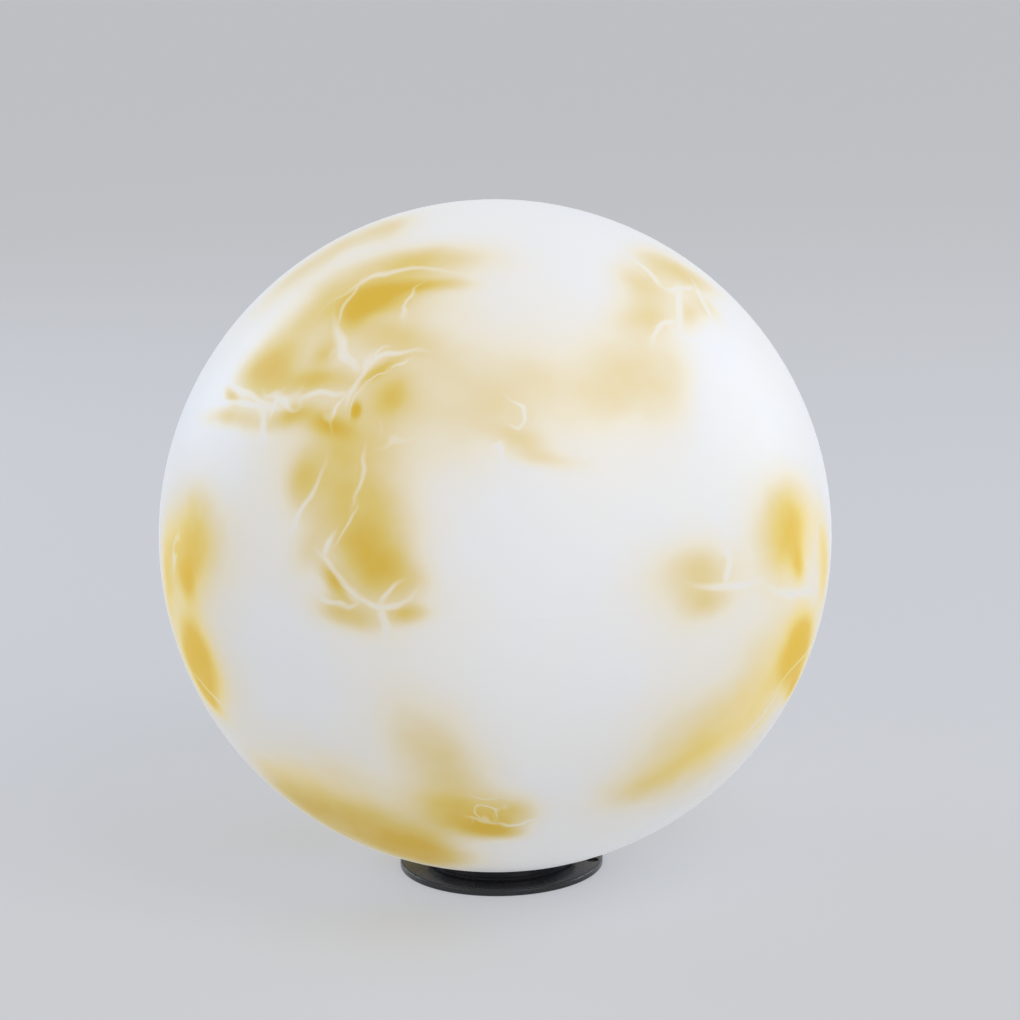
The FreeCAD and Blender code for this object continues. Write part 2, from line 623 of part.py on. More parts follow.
def terminal_inserts():
    """The brass tubes of the connector, each tapped through its top for its two wire screws."""
    tubes = []
    for x in pole_places():
        start = Vector(x, BLOCK_FRONT, FLOOR_Z + POLE_HEIGHT)
        tube = Part.makeCylinder(INSERT_OUTER_RADIUS, BLOCK_DEPTH, start, Vector(0, 1, 0))
        tube = tube.cut(Part.makeCylinder(INSERT_INNER_RADIUS, BLOCK_DEPTH, start, Vector(0, 1, 0)))
        for screw_x, y in wire_screw_places():
            if screw_x == x:
                tube = tube.cut(
                    cylinder(x, y, start.z, WIRE_SCREW_RADIUS + CURVED_SEAT_GAP, INSERT_OUTER_RADIUS * 2)
                )
        tubes.append(tube)
    return Part.makeCompound(tubes)


def wire_screws():
    """The slotted grub screws that pinch the wires in the connector."""
    foot_z = FLOOR_Z + POLE_HEIGHT + LEAD_RADIUS + CURVED_SEAT_GAP
    height = FLOOR_Z + BLOCK_HEIGHT - WIRE_SCREW_SUNK - foot_z
    screws = [cylinder(x, y, foot_z, WIRE_SCREW_RADIUS, height) for x, y in wire_screw_places()]
    return Part.makeCompound(screws)


def block_screw():
    middle_y = BLOCK_FRONT + BLOCK_DEPTH / 2
    return screw(0, middle_y, FLOOR_Z + BLOCK_HEIGHT, BLOCK_HEIGHT + BLOCK_SCREW_DEPTH)


# ---- Holder plate and lamp holder ----------------------------------------------------------------


def holder_screw_places():
    return [(side * HOLDER_SCREW_SPACING / 2, 0) for side in (-1, 1)]


def holder_plate():
    """The round plate screwed on the collar's bosses, which carries the lamp holder."""
    plate = cylinder(0, 0, PLATE_Z, PLATE_RADIUS, PLATE_THICKNESS)
    holes = [(x, y, PILOT_RADIUS) for x, y in boss_places() + holder_screw_places()]
    holes += [(x, LEAD_Y, LEAD_HOLE_RADIUS) for x in pole_places()]
    for x, y, radius in holes:
        plate = plate.cut(cylinder(x, y, PLATE_Z, radius, PLATE_THICKNESS))
    return plate


def plate_screws():
    depth = PLATE_THICKNESS + BOSS_SCREW_DEPTH
    return Part.makeCompound([screw(x, y, PLATE_TOP_Z, depth) for x, y in boss_places()])


def holder_screws():
    depth = HOLDER_FLOOR + HOLDER_POCKET_DEPTH + PLATE_THICKNESS
    return Part.makeCompound([screw(x, y, HOLDER_SEAT_Z, depth) for x, y in holder_screw_places()])


def holder_base():
    """The holder's foot: a shallow cup over the wires' ends, whose floor carries the centre contact."""
    spigot_inner = HOLDER_SPIGOT_RADIUS - HOLDER_SPIGOT_WALL
    spigot_top = HOLDER_SEAT_Z + HOLDER_SPIGOT_HEIGHT
    base = turned_polygon(
        [
            (0, HOLDER_FLOOR_Z),
            (HOLDER_POCKET_RADIUS, HOLDER_FLOOR_Z),
            (HOLDER_POCKET_RADIUS, PLATE_TOP_Z),
            (HOLDER_FOOT_RADIUS, PLATE_TOP_Z),
            (HOLDER_FOOT_RADIUS, HOLDER_SEAT_Z),
            (HOLDER_SPIGOT_RADIUS, HOLDER_SEAT_Z),
            (HOLDER_SPIGOT_RADIUS, spigot_top),
            (spigot_inner, spigot_top),
            (spigot_inner, HOLDER_SEAT_Z),
            (0, HOLDER_SEAT_Z),
        ]
    )
    for x, y in holder_screw_places():
        base = base.fuse(cylinder(x, y, PLATE_TOP_Z, HOLDER_PILLAR_RADIUS, HOLDER_POCKET_DEPTH))
        base = base.cut(cylinder(x, y, PLATE_TOP_Z, PILOT_RADIUS, HOLDER_POCKET_DEPTH + HOLDER_FLOOR))
    for x in pole_places():
        base = base.cut(cylinder(x, LEAD_Y, HOLDER_FLOOR_Z, LEAD_RADIUS + CURVED_SEAT_GAP, LEAD_PUSHED_IN))
    return base.cut(cylinder(0, RIVET_Y, HOLDER_FLOOR_Z, CONTACT_RIVET_RADIUS, HOLDER_FLOOR))


def lamp_holder():
    """The holder's skirt, pushed over the base's spigot: a tapered tube with cooling flutes round it."""
    shoulder_z = HOLDER_SEAT_Z + HOLDER_SHOULDER
    edge = HOLDER_WALL * HOLDER_EDGE_SHARE
    corner = edge * (1 - math.sqrt(0.5))
    rim_low = at(HOLDER_MOUTH_RADIUS, HOLDER_TOP_Z - edge)
    rim_middle = at(HOLDER_MOUTH_RADIUS - corner, HOLDER_TOP_Z - corner)
    rim_high = at(HOLDER_MOUTH_RADIUS - edge, HOLDER_TOP_Z)
    outside = [
        (HOLDER_WELL_RADIUS, HOLDER_SEAT_Z),
        (HOLDER_FOOT_RADIUS, HOLDER_SEAT_Z),
        (HOLDER_MOUTH_RADIUS, shoulder_z),
        (rim_low.x, rim_low.z),
    ]
    inside = [
        (rim_high.x, rim_high.z),
        (HOLDER_BORE_RADIUS, HOLDER_TOP_Z),
        (HOLDER_BORE_RADIUS, SCREW_SHELL_Z),
        (HOLDER_WELL_RADIUS, SCREW_SHELL_Z),
        outside[0],
    ]
    skirt = turned(lines(outside) + [arc(rim_low, rim_middle, rim_high)] + lines(inside))
    depth = HOLDER_WALL * HOLDER_VENT_SHARE
    for x, y, angle in round_pattern(HOLDER_VENT_COUNT, 0, HOLDER_MOUTH_RADIUS):
        flute = centred_box(0, 0, FLUTE_Z, 2 * depth, HOLDER_VENT_WIDTH, FLUTE_HEIGHT)
        flute.rotate(ORIGIN, AXIS, angle)
        flute.translate(Vector(x, y, 0))
        skirt = skirt.cut(flute)
    return skirt


def screw_shell():
    """The brass shell that the bulb's cap screws into."""
    height = SCREW_SHELL_TOP_Z - SCREW_SHELL_Z
    tube = cylinder(0, 0, SCREW_SHELL_Z, SCREW_SHELL_RADIUS, height)
    return tube.cut(cylinder(0, 0, SCREW_SHELL_Z, SCREW_SHELL_INNER_RADIUS, height))


def centre_contact():
    """The sprung strip that presses up on the bulb's tip, with the rivet that fixes it."""
    low = HOLDER_SEAT_Z
    high = HOLDER_SEAT_Z + CONTACT_RISE
    under = [
        (-CONTACT_ROOT, low),
        (-CONTACT_BEND, low),
        (-CONTACT_CREST, high),
        (CONTACT_CREST, high),
    ]
    over = [(y, z + CONTACT_THICKNESS) for y, z in reversed(under)]
    corners = [Vector(-CONTACT_WIDTH / 2, y, z) for y, z in under + over]
    outline = Part.Face(Part.makePolygon(corners + corners[:1]))
    strip = outline.extrude(Vector(CONTACT_WIDTH, 0, 0))
    rivet_radius = CONTACT_RIVET_RADIUS - CURVED_SEAT_GAP
    rivet = cylinder(0, RIVET_Y, HOLDER_FLOOR_Z, rivet_radius, HOLDER_FLOOR)
    return strip.fuse(rivet).removeSplitter()


def lead(x):
    """One insulated wire from the connector, up through the plate and into the holder's floor."""
    pole_z = FLOOR_Z + POLE_HEIGHT
    inside = Vector(x, BLOCK_FRONT + LEAD_STRIPPED_IN, pole_z)
    bend_start = Vector(x, BLOCK_FRONT, pole_z)
    bend_end = Vector(x, LEAD_Y, pole_z + LEAD_BEND_RADIUS)
    sag = LEAD_BEND_RADIUS * math.sqrt(0.5)
    bend_middle = Vector(x, BLOCK_FRONT - sag, pole_z + LEAD_BEND_RADIUS - sag)
    top = Vector(x, LEAD_Y, HOLDER_FLOOR_Z + LEAD_PUSHED_IN)
    path = Part.Wire([line(inside, bend_start), arc(bend_start, bend_middle, bend_end), line(bend_end, top)])
    section = Part.Wire([Part.Circle(inside, Vector(0, 1, 0), LEAD_RADIUS).toShape()])
    return path.makePipeShell([section], True, False)


# ---- Bulb ----------------------------------------------------------------------------------------


def bulb_tip():
    """The domed centre contact under the bulb."""
    edge_z = TIP_Z + TIP_DOME
    sides = lines([(0, TIP_Z), (0, INSULATOR_Z), (TIP_RADIUS, INSULATOR_Z), (TIP_RADIUS, edge_z)])
    return turned(sides + [dome_arc(TIP_RADIUS, edge_z, TIP_Z)])


def bulb_insulator():
    """The glassy ring between the tip and the screw cap."""
    shoulder = CAP_RADIUS - CAP_TAPER - CAP_WALL
    return turned_polygon(
        [
            (0, INSULATOR_Z),
            (TIP_RADIUS + INSULATOR_LIP, INSULATOR_Z),
            (shoulder, INSULATOR_Z + INSULATOR_BEVEL),
            (shoulder, INSULATOR_Z + INSULATOR_HEIGHT),
            (0, INSULATOR_Z + INSULATOR_HEIGHT),
        ]
    )


def bulb_cap():
    """The bulb's metal screw cap, open at the top and necked in at the bottom."""
    low_radius = CAP_RADIUS - CAP_TAPER
    low_z = INSULATOR_Z + CAP_FOOT_RISE
    return turned_polygon(
        [
            (low_radius, low_z),
            (CAP_RADIUS, CAP_Z + CAP_TAPER_HEIGHT),
            (CAP_RADIUS, CAP_TOP_Z),
            (CAP_RADIUS - CAP_WALL, CAP_TOP_Z),
            (CAP_RADIUS - CAP_WALL, CAP_Z + CAP_TAPER_HEIGHT),
            (low_radius - CAP_WALL, low_z),
        ]
    )


def housing_side(offset):
    """The housing's curved side, moved inwards by offset, from its neck up to the dome's rim."""
    neck_top_z = CAP_TOP_Z + BULB_NECK_HEIGHT
    start = at(BULB_NECK_RADIUS - offset, neck_top_z)
    end = at(DOME_RIM_RADIUS - offset, DOME_RIM_Z)
    middle = (start + end) * 0.5 + at(BULB_BELLY, 0)
    return start, middle, end


def bulb_housing():
    """The bulb's white body: a neck pressed into the cap, and a flared cup with a ledge for the board."""
    spigot_z = DRIVER_FOOT_Z
    spigot_inner = SPIGOT_IN_CAP_RADIUS - BULB_HOUSING_WALL
    start, middle, end = housing_side(0)
    inner_start, inner_middle, inner_end = housing_side(BULB_HOUSING_WALL)
    outside = turned(
        [
            line(at(0, spigot_z), at(SPIGOT_IN_CAP_RADIUS, spigot_z)),
            line(at(SPIGOT_IN_CAP_RADIUS, spigot_z), at(SPIGOT_IN_CAP_RADIUS, CAP_TOP_Z)),
            line(at(SPIGOT_IN_CAP_RADIUS, CAP_TOP_Z), at(BULB_NECK_RADIUS, CAP_TOP_Z)),
            line(at(BULB_NECK_RADIUS, CAP_TOP_Z), start),
            arc(start, middle, end),
            line(end, at(0, DOME_RIM_Z)),
            line(at(0, DOME_RIM_Z), at(0, spigot_z)),
        ]
    )
    hollow_top = BOARD_Z
    hollow = turned(
        [
            line(at(0, spigot_z), at(spigot_inner, spigot_z)),
            line(at(spigot_inner, spigot_z), at(spigot_inner, inner_start.z)),
            line(at(spigot_inner, inner_start.z), inner_start),
            arc(inner_start, inner_middle, inner_end),
            line(inner_end, at(0, DOME_RIM_Z)),
            line(at(0, DOME_RIM_Z), at(0, spigot_z)),
        ]
    )
    ledge = cylinder(0, 0, hollow_top - BOARD_LEDGE, BOARD_RADIUS + BULB_HOUSING_WALL, BOARD_LEDGE)
    ledge = ledge.cut(cylinder(0, 0, hollow_top - BOARD_LEDGE, BOARD_RADIUS - BOARD_LEDGE, BOARD_LEDGE))
    ledge = ledge.common(outside)
    board_seat = cylinder(0, 0, BOARD_Z, BOARD_RADIUS + BOARD_EDGE_GAP, BOARD_THICKNESS)
    return outside.cut(hollow).fuse(ledge).cut(board_seat).removeSplitter()


def bulb_dome():
    """The opal cover of the bulb."""
    inner_radius = BULB_RADIUS - BULB_DOME_WALL
    centre = Vector(0, 0, DOME_CENTRE_Z)
    shell = Part.makeSphere(BULB_RADIUS, centre).cut(Part.makeSphere(inner_radius, centre))
    above = centred_box(0, 0, DOME_RIM_Z, BULB_DIAMETER, BULB_DIAMETER, BULB_DIAMETER)
    return shell.common(above)


def lamp_board():
    return cylinder(0, 0, BOARD_Z, BOARD_RADIUS, BOARD_THICKNESS)


def light_chips():
    """The light-emitting chips, in a ring on the board."""
    chips = []
    for x, y, angle in round_pattern(CHIP_COUNT, 0, BOARD_RADIUS - CHIP_EDGE_MARGIN):
        chip = centred_box(0, 0, BOARD_Z + BOARD_THICKNESS, CHIP_LENGTH, CHIP_WIDTH, CHIP_HEIGHT)
        chip.rotate(ORIGIN, AXIS, angle)
        chip.translate(Vector(x, y, 0))
        chips.append(chip)
    return Part.makeCompound(chips)


def driver_board():
    """The upright circuit board in the bulb's neck."""
    width = 2 * (SPIGOT_IN_CAP_RADIUS - BULB_HOUSING_WALL - DRIVER_EDGE_GAP)
    height = DRIVER_TOP_Z - DRIVER_FOOT_Z
    return centred_box(0, 0, DRIVER_FOOT_Z, width, DRIVER_THICKNESS, height)


def driver_parts():
    """The capacitor and the coil that stand on the two faces of the driver board."""
    face = DRIVER_THICKNESS / 2
    top_z = DRIVER_TOP_Z - DRIVER_PARTS_DROP
    capacitor_z = top_z - CAPACITOR_LENGTH
    capacitor = cylinder(0, face + CAPACITOR_RADIUS, capacitor_z, CAPACITOR_RADIUS, CAPACITOR_LENGTH)
    coil = cylinder(0, -face - COIL_RADIUS, top_z - COIL_LENGTH, COIL_RADIUS, COIL_LENGTH)
    return Part.makeCompound([capacitor, coil])


# ---- Assembly ------------------------------------------------------------------------------------


def main():
    left, right = pole_places()
    parts = {
        "globe_upper_shell": upper_shell(),
        "globe_lower_shell": lower_shell(),
        "neck_ring": neck_ring(),
        "globe_gasket": globe_gasket(),
        "lock_nut": lock_nut(),
        "slip_washer": slip_washer(),
        "base_moulding": base_moulding(),
        "collar_seal": collar_seal(),
        "cable_grommet": cable_grommet(),
        "cable_clamp": cable_clamp(),
        "clamp_screws": clamp_screws(),
        "terminal_block": terminal_block(),
        "terminal_inserts": terminal_inserts(),
        "wire_screws": wire_screws(),
        "block_screw": block_screw(),
        "holder_plate": holder_plate(),
        "plate_screws": plate_screws(),
        "holder_screws": holder_screws(),
        "holder_base": holder_base(),
        "lamp_holder": lamp_holder(),
        "screw_shell": screw_shell(),
        "centre_contact": centre_contact(),
        "live_lead": lead(left),
        "neutral_lead": lead(right),
        "bulb_tip": bulb_tip(),
        "bulb_insulator": bulb_insulator(),
        "bulb_cap": bulb_cap(),
        "bulb_housing": bulb_housing(),
        "bulb_dome": bulb_dome(),
        "lamp_board": lamp_board(),
        "light_chips": light_chips(),
        "driver_board": driver_board(),
        "driver_parts": driver_parts(),
    }
    os.makedirs("parts", exist_ok=True)
    for name, shape in parts.items():
        shape.exportStep("parts/%s.step" % name)
        box = shape.BoundBox
        print(
            "%-18s solids %d valid %s volume %9.1f  z %.2f to %.2f"
            % (name, len(shape.Solids), shape.isValid(), shape.Volume, box.ZMin, box.ZMax)
        )


main()
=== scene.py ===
"""Dresses the moon lamp: a marbled opal globe on a small glossy black base, with its bulb and holder inside.

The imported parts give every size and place. This file gives them their finishes, and adds what the solids
leave out: the rolled threads of the bulb's cap and of its holder, and the screws' threads and recesses.
Lengths are in metres. The globe's clouds and veins are placed as they are seen from a viewpoint: to the
right of the globe's centre and up from it, in thousandths of its seen radius.
"""

import json
import logging
import math
from dataclasses import dataclass
from enum import Enum
from functools import cache

import bmesh
import bpy
from mathutils import Matrix, Vector

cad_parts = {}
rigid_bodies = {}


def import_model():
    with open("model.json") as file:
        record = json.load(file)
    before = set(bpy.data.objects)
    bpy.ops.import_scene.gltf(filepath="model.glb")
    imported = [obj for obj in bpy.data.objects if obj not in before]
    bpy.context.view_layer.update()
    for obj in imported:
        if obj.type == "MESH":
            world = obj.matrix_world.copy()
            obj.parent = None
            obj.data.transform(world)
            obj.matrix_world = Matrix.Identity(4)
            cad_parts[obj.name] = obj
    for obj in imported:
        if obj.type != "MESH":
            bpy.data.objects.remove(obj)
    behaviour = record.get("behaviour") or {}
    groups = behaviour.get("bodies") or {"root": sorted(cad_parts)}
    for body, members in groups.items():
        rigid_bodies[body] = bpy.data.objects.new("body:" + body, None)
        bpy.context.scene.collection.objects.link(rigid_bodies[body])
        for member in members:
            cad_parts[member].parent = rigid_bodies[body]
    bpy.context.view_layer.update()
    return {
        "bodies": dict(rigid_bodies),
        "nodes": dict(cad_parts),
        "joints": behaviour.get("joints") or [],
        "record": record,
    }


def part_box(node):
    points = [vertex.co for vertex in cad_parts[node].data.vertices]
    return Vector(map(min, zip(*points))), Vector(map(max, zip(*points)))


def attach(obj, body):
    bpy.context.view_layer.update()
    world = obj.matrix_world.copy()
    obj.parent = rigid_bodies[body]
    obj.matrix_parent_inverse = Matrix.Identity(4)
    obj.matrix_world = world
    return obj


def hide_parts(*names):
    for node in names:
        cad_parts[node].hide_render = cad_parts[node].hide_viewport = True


log = logging.getLogger("moon_lamp")

BMesh = bmesh.types.BMesh
Material = bpy.types.Material
Node = bpy.types.Node
Object = bpy.types.Object
Socket = bpy.types.NodeSocket
Color = tuple[float, float, float, float]
Pair = tuple[float, float]

MM = 0.001
FULL_TURN = 2 * math.pi
QUARTER_TURN = math.pi / 2
UP = Vector((0.0, 0.0, 1.0))
ORIGIN = Vector((0.0, 0.0, 0.0))

# The screen's curve: straight up to CURVE_START, and a power beyond it.
CHANNEL_TOP, CURVE_START, CURVE_SLOPE, CURVE_SHIFT, CURVE_POWER = 255, 0.04045, 12.92, 0.055, 2.4


def srgb(*channels: int) -> Color:
    """Turns a screen colour into the linear colour, with an alpha of 1, that a shader takes.

    Args:
        *channels: The red, green and blue channels, 0 to 255.

    Returns:
        The linear colour.
    """

    def linear(share: float) -> float:
        """Undoes the screen's curve for one channel."""
        if share <= CURVE_START:
            return share / CURVE_SLOPE
        return ((share + CURVE_SHIFT) / (1 + CURVE_SHIFT)) ** CURVE_POWER

    return (*(linear(channel / CHANNEL_TOP) for channel in channels), 1.0)


def scaled(color: Color, share: float) -> Color:
    """Makes a colour darker or lighter, held at 1."""
    return (*(min(1.0, channel * share) for channel in color[:3]), 1.0)


def direction(azimuth: float, elevation: float) -> Vector:
    """Gives the direction of a bearing and a height, both in degrees."""
    bearing, rise = math.radians(azimuth), math.radians(elevation)
    return Vector((math.cos(bearing) * math.cos(rise), math.sin(bearing) * math.cos(rise), math.sin(rise)))


# ---- Node graphs ----


class Graph:
    """The node tree of a material or a world."""

    MIX_INPUTS = (0, 6, 7)  # The factor and the two colours of a Mix node, by place.
    MIX_RESULT = 2
    NOISE_BAND = (0.3, 0.7)

    def __init__(self, owner: bpy.types.ID, output: str) -> None:
        """Starts an empty tree.

        Args:
            owner: The material or the world.
            output: The type name of the tree's output node.
        """
        owner.use_nodes = True
        self.tree = owner.node_tree
        self.tree.nodes.clear()
        self.output = self.node(output)

    def node(self, kind: str, inputs: dict[str, object] | None = None, **settings: object) -> Node:
        """Adds a node.

        Args:
            kind: The node's type name.
            inputs: Links or values for its inputs, by name.
            **settings: Properties to set on it.

        Returns:
            The new node.
        """
        made = self.tree.nodes.new(kind)
        for key, value in settings.items():
            setattr(made, key, value)
        for name, value in (inputs or {}).items():
            self.feed(made.inputs[name], value)
        return made

    def feed(self, target: Socket, value: object) -> None:
        """Gives an input either a link or a plain value."""
        if isinstance(value, Socket):
            self.tree.links.new(value, target)
        else:
            target.default_value = value

    def fill(self, node: Node, values: tuple) -> None:
        """Gives a node's first inputs links or plain values, in turn."""
        for target, value in zip(node.inputs, values):
            self.feed(target, value)

    def math(self, operation: str, *values: object, clamp: bool = False) -> Socket:
        """Adds a Math node.

        Args:
            operation: Its operation.
            *values: Its inputs.
            clamp: Whether it is held between 0 and 1.

        Returns:
            Its output.
        """
        made = self.node("ShaderNodeMath", operation=operation, use_clamp=clamp)
        self.fill(made, values)
        return made.outputs[0]

    def vector_math(self, operation: str, *values: object) -> Socket:
        """Adds a Vector Math node, and returns the vector or the number that it gives."""
        made = self.node("ShaderNodeVectorMath", operation=operation)
        self.fill(made, values)
        return made.outputs["Value" if operation == "DOT_PRODUCT" else "Vector"]

    def noise(self, place: Socket, scale: float, detail: float = 2.0, roughness: float = 0.5) -> Node:
        """Adds a noise texture, and returns the node with its Fac and Color outputs."""
        inputs = {"Vector": place, "Scale": scale, "Detail": detail, "Roughness": roughness}
        return self.node("ShaderNodeTexNoise", inputs)

    def spread(self, value: object, given: Pair, wanted: Pair = (0.0, 1.0)) -> Socket:
        """Maps a value smoothly from one range to another, held at the ends."""
        names = ("Value", "From Min", "From Max", "To Min", "To Max")
        inputs = dict(zip(names, (value, *given, *wanted)))
        return self.node("ShaderNodeMapRange", inputs, interpolation_type="SMOOTHSTEP").outputs["Result"]

    def varied(self, noise: Socket, middle: float, swing: float) -> Socket:
        """Varies a number by a noise, by a share of it either way."""
        return self.spread(noise, self.NOISE_BAND, (middle * (1 - swing), middle * (1 + swing)))

    def mix(self, share: object, low: object, high: object) -> Socket:
        """Mixes two colours by a share, and returns the mixed colour."""
        made = self.node("ShaderNodeMix", data_type="RGBA", clamp_factor=True)
        for index, value in zip(self.MIX_INPUTS, (share, low, high)):
            self.feed(made.inputs[index], value)
        return made.outputs[self.MIX_RESULT]


class MaterialGraph(Graph):
    """A new material's node tree, which ends in a Principled shader."""

    def __init__(self, name: str) -> None:
        """Starts the material of a name."""
        self.material = bpy.data.materials.new(name)
        super().__init__(self.material, "ShaderNodeOutputMaterial")
        self.place = self.node("ShaderNodeTexCoord").outputs["Object"]

    def shaded(self, inputs: dict[str, object]) -> Material:
        """Ends the tree with a Principled shader of some inputs, and returns the material."""
        shader = self.node("ShaderNodeBsdfPrincipled", inputs)
        self.feed(self.output.inputs["Surface"], shader.outputs["BSDF"])
        return self.material

    def bump(self, height: Socket, relief: float) -> Socket:
        """Makes the normal of a bump from a height, over a relief in metres."""
        return self.node("ShaderNodeBump", {"Strength": 1.0, "Distance": relief, "Height": height}).outputs[0]


# ---- Plain finishes ----


@dataclass(frozen=True)
class Moulded:
    """A moulded plastic or rubber: an even colour with faint mottling and a fine skin.

    Attributes:
        name: The material's name.
        color: The linear colour.
        roughness: The middle roughness.
        mottle: How far the colour varies, as a share.
        grain: The skin's grain in mm.
        relief: The skin's height in mm.
        specular: The specular level.
        coat: The weight of a clear top layer.
        glow: The strength of an even glow.
    """

    name: str
    color: Color
    roughness: float = 0.4
    mottle: float = 0.08
    grain: float = 0.6
    relief: float = 0.01
    specular: float = 0.5
    coat: float = 0.0
    glow: float = 0.0

    CLOUDY = (90.0, 3.0)
    ROUGHNESS_SWING = 0.1

    def build(self) -> Material:
        """Builds the material."""
        graph = MaterialGraph(self.name)
        cloudy = graph.noise(graph.place, *self.CLOUDY).outputs["Fac"]
        skin = graph.noise(graph.place, 1 / (self.grain * MM)).outputs["Fac"]
        color = graph.mix(cloudy, scaled(self.color, 1 - self.mottle), scaled(self.color, 1 + self.mottle))
        inputs = {
            "Base Color": color,
            "Roughness": graph.varied(cloudy, self.roughness, self.ROUGHNESS_SWING),
            "Specular IOR Level": self.specular,
            "Coat Weight": self.coat,
            "Normal": graph.bump(skin, self.relief * MM),
        }
        if self.glow:
            inputs |= {"Emission Color": color, "Emission Strength": self.glow}
        return graph.shaded(inputs)


@dataclass(frozen=True)
class Metal:
    """A bare or plated metal with faint drawing marks round the lamp's axis.

    Attributes:
        name: The material's name.
        color: The linear colour.
        roughness: The middle roughness.
        tarnish: How far the colour darkens in patches, as a share.
    """

    name: str
    color: Color
    roughness: float = 0.28
    tarnish: float = 0.2

    SQUEEZE = (60.0, 60.0, 1600.0)
    DRAWN = (1.0, 3.0, 0.6)
    PATCHY = (160.0, 3.0)
    TARNISH_BAND = (0.35, 0.7)
    ROUGHNESS_SWING = 0.3
    RELIEF = 0.01 * MM

    def build(self) -> Material:
        """Builds the material."""
        graph = MaterialGraph(self.name)
        squeezed = graph.vector_math("MULTIPLY", graph.place, self.SQUEEZE)
        lines = graph.noise(squeezed, *self.DRAWN).outputs["Fac"]
        patches = graph.spread(graph.noise(graph.place, *self.PATCHY).outputs["Fac"], self.TARNISH_BAND)
        inputs = {
            "Base Color": graph.mix(patches, self.color, scaled(self.color, 1 - self.tarnish)),
            "Roughness": graph.varied(lines, self.roughness, self.ROUGHNESS_SWING),
            "Metallic": 1.0,
            "Normal": graph.bump(lines, self.RELIEF),
        }
        return graph.shaded(inputs)


class Finish(Enum):
    """The plain finishes of the lamp's pieces."""

    BASE_BLACK = Moulded("glossy_black_base", srgb(30, 31, 35), 0.27, 0.1, 1.6, 0.002, 0.5, 0.3)
    SOFT_BLACK = Moulded("soft_black_rubber", srgb(34, 34, 34), 0.75, 0.12, 0.3, 0.02, 0.3)
    NUT_BLACK = Moulded("matt_black_nylon", srgb(44, 44, 46), 0.5, 0.12, 0.4, 0.02)
    PLATE_WHITE = Moulded("grained_white_plate", srgb(228, 228, 224), 0.5, 0.03, 0.5, 0.03)
    HOLDER_WHITE = Moulded("white_holder", srgb(226, 224, 216), 0.28, 0.03, 0.8, 0.01)
    CONNECTOR_WHITE = Moulded("white_connector", srgb(222, 222, 214), 0.42, 0.03)
    BULB_WHITE = Moulded("white_bulb_body", srgb(232, 232, 230), 0.4, 0.02, 0.4, 0.015)
    BULB_OPAL = Moulded("opal_bulb_dome", srgb(238, 237, 232), 0.22, 0.02, 2.0, 0.005, 0.5, 0.2, 0.25)
    LEAD_BROWN = Moulded("brown_lead", srgb(96, 58, 34), 0.45, 0.08)
    LEAD_BLUE = Moulded("blue_lead", srgb(42, 98, 168), 0.45, 0.08)
    INSULATOR = Moulded("black_glass_insulator", srgb(28, 27, 30), 0.12, 0.1, 2.0, 0.004)
    BOARD_WHITE = Moulded("white_lamp_board", srgb(236, 238, 236), 0.35, 0.02)
    BOARD_GREEN = Moulded("green_driver_board", srgb(30, 92, 56), 0.35, 0.15)
    CHIP_YELLOW = Moulded("yellow_light_chip", srgb(238, 206, 84), 0.3, 0.05)
    SLEEVE_BLACK = Moulded("black_component_sleeve", srgb(38, 38, 44), 0.3, 0.1)
    SCREW_STEEL = Metal("zinc_plated_steel", srgb(196, 197, 200), 0.3, 0.15)
    BRASS = Metal("drawn_brass", srgb(206, 172, 104), 0.26, 0.2)
    CAP_METAL = Metal("nickel_plated_cap", srgb(208, 208, 210), 0.24, 0.12)

    @cache
    def material(self) -> Material:
        """Builds the finish's material once, when a piece first asks for it."""
        return self.value.build()


def dress(piece: Object, material: Material) -> None:
    """Gives every material slot of a piece the same material."""
    if not piece.material_slots:
        piece.data.materials.append(material)
    for slot in piece.material_slots:
        slot.material = material
    log.info("%s is dressed in %s", piece.name, material.name)


# ---- The globe's pattern ----

PARTS = 1000  # The parts of the globe's seen radius that its marks are measured in.


@dataclass(frozen=True)
class Viewpoint:
    """A place from which the globe is seen, where its marks are placed.

    Attributes:
        azimuth: The viewer's bearing in degrees, -90 in front.
        elevation: The viewer's height in degrees.
        nearness: The viewer's distance in globe radii.
    """

    azimuth: float
    elevation: float
    nearness: float

    OUTERMOST = 0.995

    def axes(self) -> Matrix:
        """The viewer's right, up and backward directions, as a matrix's columns."""
        back = direction(self.azimuth, self.elevation)
        right = UP.cross(back).normalized()
        return Matrix((right, back.cross(right), back)).transposed()

    def point(self, right: float, up: float) -> Vector:
        """Finds the point of the globe that shows at a place.

        Args:
            right: The place, right of the globe's middle.
            up: The place, above the middle.

        Returns:
            The point's direction from the globe's centre.
        """
        reach = max(math.hypot(right, up) / self.OUTERMOST, PARTS)
        outline = math.tan(math.asin(1 / self.nearness)) / reach
        ray = Vector((right * outline, up * outline, -1.0)).normalized()
        eye = Vector((0.0, 0.0, self.nearness))
        along = -eye.dot(ray)
        to_globe = along - math.sqrt(along**2 - self.nearness**2 + 1)
        return self.axes() @ (eye + ray * to_globe)


